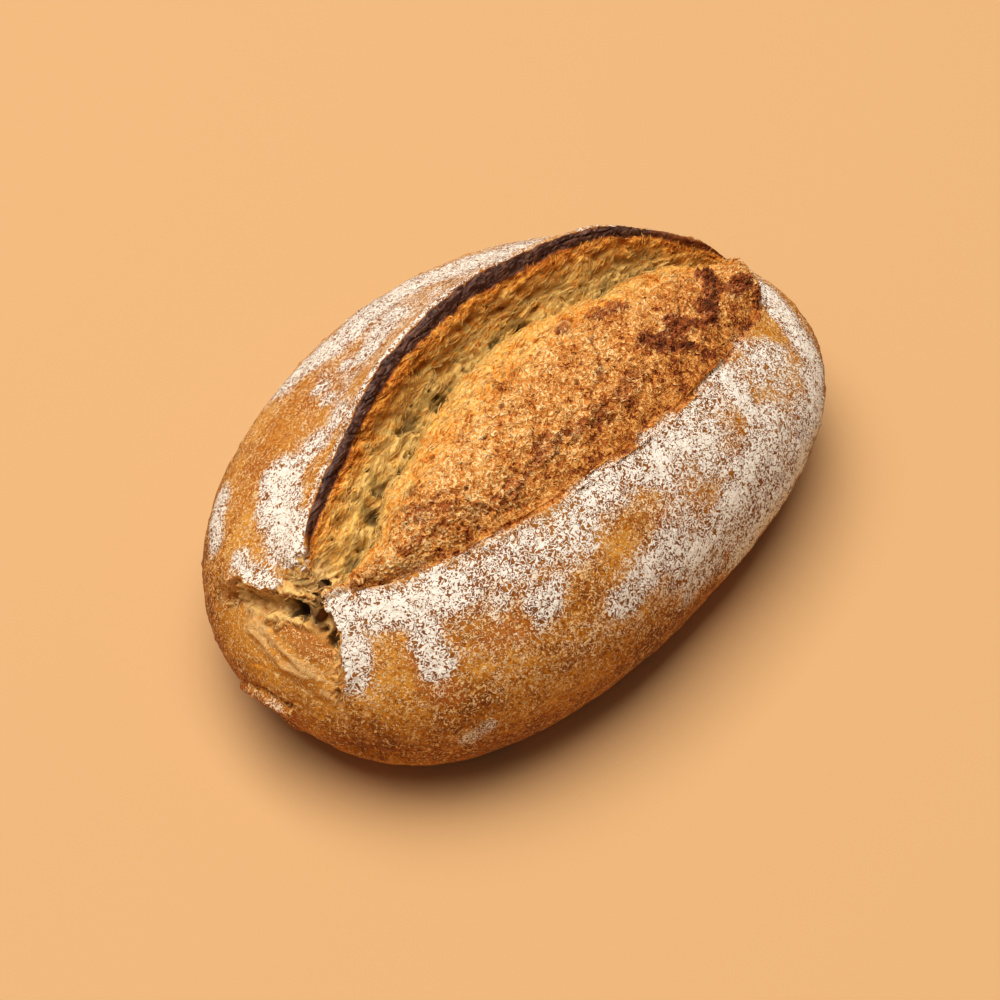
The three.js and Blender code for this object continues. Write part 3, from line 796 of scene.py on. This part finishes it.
def dressSkin(name, grid, code, wrap=False):
    # relief on a grid of smooth points, sunk where another piece of skin covers it
    normals = gridNormals(grid, wrap)
    code = np.broadcast_to(code, grid.shape[:2])
    height, overhang, looks = bakedSkin(grid, code)
    shares = pieceShares(grid, code)
    shown = shares[name] if name in shares else 1 - np.clip(sum(shares.values()), 0, 1)
    sink = seams["patchDive"] if name in shares else seams["crustSink"]
    dressed = grid + normals * (height - sink * (1 - shown))[..., None]
    dressed[..., 0] += overhang
    skins.append((dressed, dict(looks, shown=(shown > 0.7) * 1.0), wrap))
    return dressed, looks


def lineCode(line):
    # one number for a line's place round the loaf: 0 at the right lip, 14 where the left flank starts
    stretch, share = line
    names = dict(baseRight=-3, tuckRight=-2, flankRight=-1, flankLeft=14, tuckLeft=15, baseLeft=16)
    return (names[stretch] if stretch in names else stretch) + share


def lineGrid(lines, stations):
    # the smooth surface along some lines, and each line's code
    points = np.stack([linePoints(line, stations) for line in lines], 1)
    return points, np.array([lineCode(line) for line in lines])


crustSkin = dict(stations=400, counts=dict(base=6, tuck=12, rightFlank=62, leftFlank=42,
                                           top=[5, 8, 8, 8, 8, 8, 4, 8, 10, 5, 4, 5, 8, 11]))


def makeCrust(material):
    # the whole loaf's skin, closed at both ends by a fan of faces
    turn = np.linspace(-1, 1, crustSkin["stations"] + 2)[1:-1]
    stations = halfLength * np.sin(math.pi / 2 * turn)
    grid, code = lineGrid(ringLines(crustSkin["counts"]), stations)
    dressed, looks = dressSkin("crust", grid, code, wrap=True)
    rows, columns = grid.shape[:2]
    poles = [dressed[row].mean(0) for row in (0, -1)]
    first, last = rows * columns, (rows - 1) * columns
    ring = np.arange(columns)
    after = (ring + 1) % columns
    nearFan = np.stack([np.full(columns, first), ring, after], -1)
    farFan = np.stack([np.full(columns, first + 1), last + after, last + ring], -1)
    faces = [gridFaces(rows, columns, True), nearFan, farFan]
    return makePiece("crust", np.vstack([dressed.reshape(-1, 3), poles]), faces, looks, material)


# patches of finer skin: first and last station and how many, first and last line code, how they are
# closed below, and how many lines each stretch of the top has
skinPatches = dict(
    crumb=dict(stations=(-96, 117, 438), codes=(-0.13, 9.2), drop=5.0, keel=(0.94, 0.35),
               counts=[8, 20, 26, 34, 34, 24, 8, 24, 32, 10, 8, 8, 8, 8]),
    ear=dict(stations=(-97, 117.5, 520), codes=(8.4, 13.1), drop=5.0, keel=(0.92, 0.8),
             counts=[1, 1, 1, 1, 1, 1, 1, 1, 40, 12, 12, 12, 16, 24]),
    tornEnd=dict(stations=(-117.6, -90.5, 96), codes=(-0.99, 14.99), drop=4.0, keel=(0.5, 0.6),
                 counts=[8] * 14, tipShares=(0.18, 0.42, 50), columns=330))
flankCount = 60


def topLines(chosen):
    # lengthwise lines over the top, between two line codes
    lines = [("flankRight", s / flankCount) for s in range(flankCount)]
    for span, count in enumerate(chosen["counts"]):
        lines += [(span, s / count) for s in range(count)]
    lines += [("flankLeft", s / flankCount) for s in range(flankCount)]
    first, last = chosen["codes"]
    return [line for line in lines if first <= lineCode(line) <= last]


def closePatch(name, grid, code, material):
    dressed, looks = dressSkin(name, grid, code)
    chosen = skinPatches[name]
    return patchPiece(name, dressed, chosen["drop"], chosen["keel"], looks, material)


def makePatch(name, material):
    chosen = skinPatches[name]
    return closePatch(name, *lineGrid(topLines(chosen), np.linspace(*chosen["stations"])), material)


def makeTornEnd(material):
    # the lines meet at the loaf's tip, so each ring of points is spaced evenly again
    chosen = skinPatches["tornEnd"]
    tip = halfLength * -np.sqrt(1 - np.linspace(*chosen["tipShares"]) ** 2)
    stations = np.concatenate([tip, np.linspace(*chosen["stations"])])
    dense, codes = lineGrid(topLines(chosen), stations)
    columns = chosen["columns"]
    grid = np.zeros((len(stations), columns, 3))
    code = np.zeros((len(stations), columns))
    for row, ring in enumerate(dense):
        way = np.concatenate([[0], np.cumsum(np.linalg.norm(np.diff(ring, axis=0), axis=1))])
        steady = np.maximum.accumulate(ring[:, 1])
        start, end = np.interp([seams["tearRight"][0] - 1, seams["tearLeft"][1] + 1], steady, way)
        at = np.linspace(start, end, columns)
        for axis in range(3):
            grid[row, :, axis] = np.interp(at, way, ring[:, axis])
        code[row] = np.interp(at, way, codes)
    return closePatch("tornEnd", grid, code, material)


# materials


def addNode(tree, kind, inputs=(), give=0, **settings):
    # a node with its settings; inputs are values or sockets to link from, in order or by name.
    # it gives back one output, or all of them where give is None
    node = tree.nodes.new(kind)
    for key, value in settings.items():
        setattr(node, key, value)
    named = inputs if isinstance(inputs, dict) else dict(enumerate(inputs))
    for key, value in named.items():
        if isinstance(value, bpy.types.NodeSocket):
            tree.links.new(value, node.inputs[key])
        else:
            node.inputs[key].default_value = value
    return node.outputs if give is None else node.outputs[give]


def newMaterial(name):
    # an empty material, and what adds nodes to it
    material = bpy.data.materials.new(name)
    material.use_nodes = True
    material.node_tree.nodes.clear()
    return material, partial(addNode, material.node_tree)


def bakedDough():
    # wheat dough baked on a hot floor: a thin hard crust under rice flour, torn crumb, charred rim.
    # dull and speckled where floured, bristly and golden where torn, slightly glossy where charred
    look = dict(
        crustDark="#7A3A08", crust="#B4680F", crustLight="#DC9430", crustRed="#A8541C",
        stretched="#D6902E", streakAndHighlight="#F0C888", flour="#FAF0E2", flourShade="#F0C07E", gap="#744014",
        crumbPale="#FDDCA2", crumbGold="#EEB15E", crumbTan="#D68A3A", crumbBrown="#AC581A",
        crumbDark="#6B2A0E", wallPale="#FAD480", wallGold="#FFC254", wallTan="#FFA63C",
        # on the next line, cell and cavity are painted shade for the crumb's recesses and holes
        wallBrown="#C4681A", crossPale="#E4C08A", cell="#9A7638", cavity="#4C3614", burnt="#5C2C10",
        # on the next line, the lighter brown of the char is partly a painted sheen
        scorched="#A65626", char="#3A1C12", charBrownAndSheen="#785242", charRed="#94481A")
    patterns = dict(   # size of each pattern in millimetres, its detail, roughness and distortion
        tone=(26, 3, 0.55, 0), blotch=(5, 2, 0.5, 0), speck=(1.4, 2, 0.6, 0.8), fleck=(1.55, 1, 0.5, 1.2),
        clump=(7, 3, 0.6, 0), gaps=(1.3, 1, 0.5, 0), stroke=(2.15, 1, 0.5, 1.2),
        feather=(0.95, 3, 0.6, 0.5), patchy=(12, 2, 0.5, 0), mottle=(6, 3, 0.6, 0),
        broken=(3.5, 2, 0.6, 0), charEdge=(4, 2, 0.5, 0), wrinkle=(1.3, 2, 0.6, 1),
        pebble=(1.7, 2, 0.6, 0.8), grit=(0.8, 1, 0.5, 0))
    stops = dict(   # colours from least to most baked
        crust=[(0.395, "crustDark"), (0.5, "crust"), (0.605, "crustLight")],
        crumb=[(0.0, "crumbPale"), (0.28, "crumbGold"), (0.52, "crumbTan"), (0.8, "crumbBrown"),
               (1.0, "crumbDark")],
        # the wall's colours are its own yellower crumb, brighter too as painted light where the ear shades
        # it
        wall=[(0.0, "wallPale"), (0.28, "wallGold"), (0.55, "wallTan"), (0.9, "wallBrown")])
    material, node = newMaterial("bakedDough")
    eased = dict(interpolation_type="SMOOTHSTEP")
    colour = {key: hexColour(text) for key, text in look.items()}

    def total(start, *parts):
        # start, plus the weight of each part times how far its value is past a middle
        for value, middle, weight in parts:
            past = node("ShaderNodeMath", [value, middle], operation="SUBTRACT")
            start = node("ShaderNodeMath", [past, weight, start], operation="MULTIPLY_ADD")
        return start

    def laid(over, under, value, weight=1.0):
        # one colour over another, by a value times a weight
        share = node("ShaderNodeMath", [value, weight], operation="MULTIPLY")
        return node("ShaderNodeMix", {0: share, 6: under, 7: over}, give=2, data_type="RGBA")

    def faded(over, under, value, low, high, most=1.0):
        # one colour over another, more and more as a value goes from low to high
        share = node("ShaderNodeMapRange", [value, low, high, 0.0, most], **eased)
        return node("ShaderNodeMix", {0: share, 6: under, 7: over}, give=2, data_type="RGBA")

    flour, torn, bake, char, burn, hollow, stretch, ridge, wall, upper, cross = (
        node("ShaderNodeAttribute", give="Fac", attribute_name=name)
        for name in ("flour", "torn", "bake", "char", "burn", "hollow", "stretch", "ridge", "wall",
                     "upper", "cross"))
    place = node("ShaderNodeTexCoord", give="Object")
    drawn = node("ShaderNodeVectorMath", [place, (0.2, 1.0, 1.0)], operation="MULTIPLY")
    noise = {}
    for name, (size, detail, roughness, distortion) in patterns.items():
        noise[name] = node("ShaderNodeTexNoise", {
            "Vector": drawn if name in ("feather", "wrinkle") else place, "Scale": 1 / (size * mm),
            "Detail": detail, "Roughness": roughness, "Distortion": distortion})
    for name in ("fleck", "stroke", "feather"):
        # 0 along curling lines, about 0.2 between them
        middle = node("ShaderNodeMath", [noise[name], 0.5], operation="SUBTRACT")
        noise[name] = node("ShaderNodeMath", [middle], operation="ABSOLUTE")

    # how dark the crust is, and how far baked the crumb is, with short curls drawn out on the wall
    height = node("ShaderNodeSeparateXYZ", [place], give="Z")
    # darker towards the bottom of the loaf, as painted shade on the low flanks
    tone = node("ShaderNodeMapRange", [height, 0.02, 0.07, -0.055, 0.025], **eased)
    tone = total(tone, (noise["tone"], 0, 0.5), (noise["blotch"], 0, 0.2), (noise["speck"], 0.18, 0.47))
    stroke = node("ShaderNodeMix", {0: wall, 2: noise["stroke"], 3: noise["feather"]}, data_type="FLOAT")
    edge = node("ShaderNodeMapRange", [stroke, 0.015, 0.06, -0.3, 0.08], **eased)
    curl = total(edge, (stroke, 0, 0.8))
    curlShare = node("ShaderNodeMapRange", [upper, 0.0, 1.0, 0.6, 1.0], **eased)
    mottle = node("ShaderNodeMapRange", [noise["mottle"], 0.54, 0.68, 0.0, 0.3], **eased)
    # the ridge shading makes crests paler and pits darker, as painted light and shade
    baked = total(bake, (noise["patchy"], 0.5, 0.7), (mottle, 0, 1), (curl, 0, curlShare), (ridge, 0, -0.2))
    ramps = {}
    for name, value in (("crust", tone), ("crumb", baked), ("wall", baked)):
        ramps[name] = node("ShaderNodeValToRGB", [value])
        bar = ramps[name].node.color_ramp
        while len(bar.elements) < len(stops[name]):
            bar.elements.new(1)
        for element, (at, key) in zip(bar.elements, stops[name]):
            element.position = at
            element.color = colour[key]

    # crust under the flour: paler where it stretched, with a painted highlight along the seam's ridge,
    # redder where it baked harder and as painted shade under the low fold
    crust = laid(colour["stretched"], ramps["crust"], stretch, 0.55)
    crust = faded(colour["streakAndHighlight"], crust, ridge, 0.1, 0.9, 0.5)
    crust = laid(colour["crustRed"], crust, bake, 0.8)

    # short curling flecks, of blistered crust where it is bare and of flour where it lies thick
    clump = total(0.0, (noise["clump"], 0.5, 1.2))
    thick = total(flour, (flour, 0, clump))
    thick = node("ShaderNodeMath", [thick, 1.0], operation="MINIMUM")
    heaped = node("ShaderNodeMath", [thick, 4.0], operation="POWER")
    limit = total(0.05, (thick, 0, 0.05), (heaped, 0, 0.043), (noise["fleck"], 0, -1))
    cover = node("ShaderNodeMapRange", [limit, 0.0, 0.015], **eased)
    present = node("ShaderNodeMapRange", [total(noise["gaps"], (thick, 0, 0.5)), 0.5, 0.57], **eased)
    unfloured = node("ShaderNodeMapRange", [flour, 0.02, 0.2, -1.0, 0.0], **eased)
    kept = total(1.0, (torn, 0, unfloured))
    for share in (present, kept):
        cover = node("ShaderNodeMath", [cover, share], operation="MULTIPLY")
    flourColour = faded(colour["flour"], colour["flourShade"], thick, 0.14, 0.62)

    # torn crumb: softer and yellower on the wall and brighter there as painted light where the ear shades
    # it, painted shade in its holes, burnt along the crest
    soft = laid(colour["crossPale"], ramps["wall"], cross, 0.4)
    crumb = laid(soft, ramps["crumb"], wall)
    heat = total(1.0, (noise["broken"], 0.5, 1.8), (stroke, 0.09, 3.0), (ridge, 0, -0.2))
    heat = node("ShaderNodeMath", [burn, heat], operation="MULTIPLY")
    burnColour = faded(colour["burnt"], colour["scorched"], heat, 0.7, 1.0)
    crumb = faded(burnColour, crumb, heat, 0.2, 0.6)
    # painted shade in holes and recesses: olive where shallow, near black where deep, dark crumb on the
    # bloom
    cell = faded(colour["cavity"], colour["cell"], hollow, 0.6, 1.0)
    holeShade = laid(cell, colour["crumbDark"], wall)
    crumb = faded(holeShade, crumb, hollow, 0.1, 0.7, 0.85)

    # charred rim over all, flour on the crust
    charred = total(char, (noise["charEdge"], 0.5, 0.5))
    charred = node("ShaderNodeMapRange", [charred, 0.25, 0.75], **eased)
    # lighter brown on the wrinkles' crests: partly the char's own brown, partly a painted sheen
    charColour = faded(colour["charBrownAndSheen"], colour["char"], noise["wrinkle"], 0.42, 0.66)
    charColour = faded(charColour, colour["charRed"], char, 0.5, 0.95)
    surface = faded(colour["gap"], laid(crumb, crust, torn), flour, 0.2, 0.7, 0.7)
    surface = laid(flourColour, surface, cover)
    surface = laid(charColour, surface, charred)

    # roughness and fine bump
    rough = 0.62
    for share, value in ((torn, 0.8), (cover, 0.95), (charred, 0.36)):
        rough = node("ShaderNodeMix", {0: share, 2: rough, 3: value}, data_type="FLOAT")
    pebbles = total(noise["pebble"], (cover, 0, 0.5))
    curlDepth = node("ShaderNodeMapRange", [wall, 0.0, 1.0, -3.0, -1.4], **eased)
    curls = total(0.8, (stroke, 0, curlDepth))
    relief = pebbles
    for share, value in ((torn, curls), (charred, noise["wrinkle"])):
        relief = node("ShaderNodeMix", {0: share, 2: relief, 3: value}, data_type="FLOAT")
    relief = total(relief, (noise["grit"], 0, 0.15))
    relief = node("ShaderNodeBump", {"Height": relief, "Strength": 0.9, "Distance": 0.0007})
    shader = node("ShaderNodeBsdfPrincipled", {"Base Color": surface, "Roughness": rough,
                  "Normal": relief, "IOR": 1.45, "Specular IOR Level": 0.24})
    node("ShaderNodeOutputMaterial", [shader], give=None)
    return material


def riceFlour():
    # dry rice flour, sifted: dead matt, a warm white. single grains are too fine to show, so each
    # fleck stands for a small clump of them
    material, node = newMaterial("riceFlour")
    place = node("ShaderNodeTexCoord", give="Object")
    # one soft spot of tint in about 1.1 mm, so that each fleck has its own
    grain = node("ShaderNodeTexNoise", {"Vector": place, "Scale": 900, "Detail": 1.0})
    tint = node("ShaderNodeMix", {0: grain, 6: hexColour("#E8D0AC"), 7: hexColour("#F6EAD8")},
                give=2, data_type="RGBA")
    shader = node("ShaderNodeBsdfPrincipled", {"Base Color": tint, "Roughness": 0.95,
                  "Specular IOR Level": 0.2})
    node("ShaderNodeOutputMaterial", [shader], give=None)
    return material


def plainPaper():
    # matt coated paper: even and pale
    material, node = newMaterial("plainPaper")
    shader = node("ShaderNodeBsdfPrincipled", {"Base Color": hexColour("#D7A975"), "Roughness": 0.9,
                  "Specular IOR Level": 0.2})
    node("ShaderNodeOutputMaterial", [shader], give=None)
    return material


# small things scattered over the skin


def anyTurn(node, rotation, least, most):
    # a rotation, turned further by a random amount about each of its own axes
    ends = [node("ShaderNodeCombineXYZ", angles) for angles in (least, most)]
    turn = node("FunctionNodeRandomValue", {0: ends[0], 1: ends[1], "Seed": 3}, data_type="FLOAT_VECTOR")
    turn = node("FunctionNodeEulerToRotation", [turn])
    return node("FunctionNodeRotateRotation", [rotation, turn], rotation_space="LOCAL")


def strandShape(node, given, segments, bow):
    # a thin tapered strand, bowed upwards
    half, less, rise, radius = (
        node("ShaderNodeMath", [given[key], share], operation="MULTIPLY")
        for key, share in (("Length", 0.5), ("Length", -0.5), ("Length", bow), ("Width", 0.5)))
    start, middle, end = (node("ShaderNodeCombineXYZ", place)
                          for place in ([less], {"Z": rise}, [half]))
    curve = node("GeometryNodeCurveQuadraticBezier", {"Resolution": segments, "Start": start,
                 "Middle": middle, "End": end})
    along = node("GeometryNodeSplineParameter", give="Factor")
    off = node("ShaderNodeMath", [along, 0.45], operation="SUBTRACT")
    off = node("ShaderNodeMath", [off], operation="ABSOLUTE")
    taper = node("ShaderNodeMath", [off, -1.5, 1.0], operation="MULTIPLY_ADD")
    curve = node("GeometryNodeSetCurveRadius", {"Curve": curve, "Radius": taper})
    ring = node("GeometryNodeCurvePrimitiveCircle", {"Resolution": 3, "Radius": radius})
    return node("GeometryNodeCurveToMesh", {"Curve": curve, "Profile Curve": ring, "Fill Caps": True})


def bristleShape(node, given, rotation, less, tilt):
    turned = anyTurn(node, rotation, [less, less], [tilt, tilt, 2 * math.pi])
    return strandShape(node, given, 3, 0.4), turned


def stringShape(node, given, rotation, less, tilt):
    # laid lengthwise, as the crumb was drawn out while the loaf tore
    lengthwise = node("FunctionNodeAlignRotationToVector", {"Rotation": rotation,
                      "Vector": (1.0, 0.1, 0.3)}, axis="X", pivot_axis="Z")
    turned = anyTurn(node, lengthwise, [0.0, -0.12, less], [0.0, 0.2, tilt])
    return strandShape(node, given, 4, 0.2), turned


def fleckShape(node, given, rotation, less, tilt):
    # a flat crumb of flour or flake of crust
    thick = node("ShaderNodeMath", [given["Width"], 0.45], operation="MULTIPLY")
    sides = node("ShaderNodeCombineXYZ", [given["Length"], given["Width"], thick])
    turned = anyTurn(node, rotation, [less, less], [tilt, tilt, 2 * math.pi])
    return node("GeometryNodeMeshCube", {"Size": sides}), turned


def scatterTree(name, shape, material):
    # a tree that spreads one small shape over a surface, where its attribute "spread" lets it
    tree = bpy.data.node_groups.new(name, "GeometryNodeTree")
    node = partial(addNode, tree)
    face = tree.interface
    face.new_socket("Geometry", in_out="INPUT", socket_type="NodeSocketGeometry")
    for key in ("Density", "Length", "Width", "Tilt", "Lift"):
        face.new_socket(key, in_out="INPUT", socket_type="NodeSocketFloat")
    face.new_socket("Seed", in_out="INPUT", socket_type="NodeSocketInt")
    face.new_socket("Geometry", in_out="OUTPUT", socket_type="NodeSocketGeometry")

    given = node("NodeGroupInput", give=None)
    spread = node("GeometryNodeInputNamedAttribute", {"Name": "spread"}, data_type="FLOAT")
    density = node("ShaderNodeMath", [spread, given["Density"]], operation="MULTIPLY")
    points = node("GeometryNodeDistributePointsOnFaces", {"Mesh": given["Geometry"], "Density": density,
                  "Seed": given["Seed"]}, give=None)
    less = node("ShaderNodeMath", [given["Tilt"], -1.0], operation="MULTIPLY")
    made, turned = shape(node, given, points["Rotation"], less, given["Tilt"])
    lift = node("ShaderNodeVectorMath", {0: points["Normal"], "Scale": given["Lift"]}, operation="SCALE")
    placed = node("GeometryNodeSetPosition", {"Geometry": points["Points"], "Offset": lift})
    # each copy gets a random lightness, mostly paler, read by the dough as painted light on ridges
    size, tint = (node("FunctionNodeRandomValue", {2: low, 3: high, "Seed": seed}, give=1,
                       data_type="FLOAT") for low, high, seed in ((0.5, 1.3, 5), (-0.6, 2.0, 9)))
    copies = node("GeometryNodeInstanceOnPoints", {"Points": placed, "Instance": made,
                  "Rotation": turned, "Scale": size})
    tinted = node("GeometryNodeStoreNamedAttribute", {"Geometry": copies, "Name": "ridge", "Value": tint},
                  data_type="FLOAT", domain="INSTANCE")
    real = node("GeometryNodeRealizeInstances", [tinted])
    done = node("GeometryNodeSetMaterial", {"Geometry": real, "Material": material})
    node("NodeGroupOutput", [done], give=None)
    return tree


# density per square millimetre, sizes in millimetres, tilt in radians, and where they lie
scattered = dict(
    crumbBristles=dict(
        shape=bristleShape, density=0.05, length=1.5, width=0.5, tilt=0.4, lift=0.0, seed=11,
        where=lambda look: look["torn"] * (0.25 + 0.75 * look["upper"]) * (look["flour"] < 0.2)
        * (1 - look["wall"] * (1 - look["bake"])) * (1 - look["char"])),
    crumbStrings=dict(
        shape=stringShape, density=0.5, length=4.0, width=0.28, tilt=0.6, lift=0.15, seed=12,
        where=lambda look: look["wall"] * (1 - look["char"]) * (1 - look["hollow"])
        * (1 - 0.75 * look["cross"]) * (look["flour"] < 0.08)),
    rimFlakes=dict(
        shape=fleckShape, density=0.12, length=1.2, width=0.6, tilt=0.5, lift=0.05, seed=14,
        where=lambda look: look["char"] * (look["flour"] < 0.08)),
    flourFlecks=dict(
        shape=fleckShape, density=0.4, length=0.6, width=0.34, tilt=0.4, lift=0.06, seed=13,
        where=lambda look: look["flour"] ** 3 * (1 - look["char"])))


def scatter(name, material):
    chosen = scattered[name]
    points, faces, looks, first = [], [], [], 0
    for grid, look, wrap in skins:
        rows, columns = grid.shape[:2]
        points.append(grid.reshape(-1, 3))
        faces.append(first + gridFaces(rows, columns, wrap))
        looks.append(dict(look, spread=chosen["where"](look) * look["shown"]))
        first += rows * columns
    layers = {key: np.concatenate([np.ravel(look[key]) for look in looks]) for key in looks[0]}
    del layers["shown"]
    host = makePiece(name + "Host", np.concatenate(points), faces, layers, material)
    values = {"Density": chosen["density"] / mm ** 2, "Length": chosen["length"] * mm,
              "Width": chosen["width"] * mm, "Lift": chosen["lift"] * mm, "Tilt": chosen["tilt"],
              "Seed": chosen["seed"]}
    modifier = host.modifiers.new("scatter", "NODES")
    modifier.node_group = scatterTree(name + "Tree", chosen["shape"], material)
    for socket in modifier.node_group.interface.items_tree:
        if socket.item_type == "SOCKET" and socket.in_out == "INPUT" and socket.name in values:
            modifier[socket.identifier] = values[socket.name]
    evaluated = host.evaluated_get(bpy.context.evaluated_depsgraph_get())
    mesh = bpy.data.meshes.new_from_object(evaluated)
    mesh.name = name
    piece = bpy.data.objects.new(name, mesh)
    bpy.context.scene.collection.objects.link(piece)
    bpy.data.objects.remove(host)
    print(name, "has", sum(len(face.vertices) - 2 for face in mesh.polygons), "triangles")
    return piece


dough = bakedDough()
crustPiece = makeCrust(dough)
finishes = [(crustPiece, "crust"), (makePatch("crumb", dough), "crumb"), (makePatch("ear", dough), "crust"),
            (makeTornEnd(dough), "crust"), (scatter("crumbBristles", dough), "crumb"),
            (scatter("crumbStrings", dough), "crumb"), (scatter("rimFlakes", dough), "crust"),
            (scatter("flourFlecks", riceFlour()), "flour")]
for piece, finish in finishes:
    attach(piece, "root")
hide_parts("loaf")
print("loaf made")

# floor, lights and camera

studio = dict(
    floorSize=6.0, world="#FFF3E4", worldStrength=0.115,
    aim=(0, 0, 0.04), key=dict(place=(0.02, 0.62, 3.2), size=3.0, power=160, colour="#FFF9F2"),
    fill=dict(place=(-2.4, -0.6, 2.6), size=2.2, power=1.5, colour="#FFEEDC"))
lens = dict(azimuth=-53.76, elevation=50.0, distance=828.47, target=(-19.93, -7.98, 40), focal=85)

floorMesh = bpy.data.meshes.new("floor")
edge = studio["floorSize"] / 2
corners = [(-edge, -edge, 0), (edge, -edge, 0), (edge, edge, 0), (-edge, edge, 0)]
floorMesh.from_pydata(corners, [], [(0, 1, 2, 3)])
floor = bpy.data.objects.new("floor", floorMesh)
bpy.context.scene.collection.objects.link(floor)
floorMesh.materials.append(plainPaper())

world = bpy.data.worlds.new("studio")
world.use_nodes = True
world.node_tree.nodes["Background"].inputs["Color"].default_value = hexColour(studio["world"])
world.node_tree.nodes["Background"].inputs["Strength"].default_value = studio["worldStrength"]
bpy.context.scene.world = world


def softLight(name, place, size, power, colour):
    lamp = bpy.data.lights.new(name, "AREA")
    lamp.size = size
    lamp.energy = power
    lamp.color = hexColour(colour)[:3]
    light = bpy.data.objects.new(name, lamp)
    light.location = place
    light.rotation_euler = (Vector(studio["aim"]) - Vector(place)).to_track_quat("-Z", "Y").to_euler()
    bpy.context.scene.collection.objects.link(light)


softLight("keyLight", **studio["key"])
softLight("fillLight", **studio["fill"])

turn, tilt = math.radians(lens["azimuth"]), math.radians(lens["elevation"])
back = Vector((math.sin(turn) * math.cos(tilt), -math.cos(turn) * math.cos(tilt), math.sin(tilt)))
camera = bpy.data.objects.new("camera", bpy.data.cameras.new("camera"))
camera.data.lens = lens["focal"]
camera.location = (Vector(lens["target"]) + back * lens["distance"]) * mm
camera.rotation_euler = back.to_track_quat("Z", "Y").to_euler()
bpy.context.scene.collection.objects.link(camera)
bpy.context.scene.camera = camera
bpy.context.scene.view_settings.view_transform = "Standard"
print("studio ready")
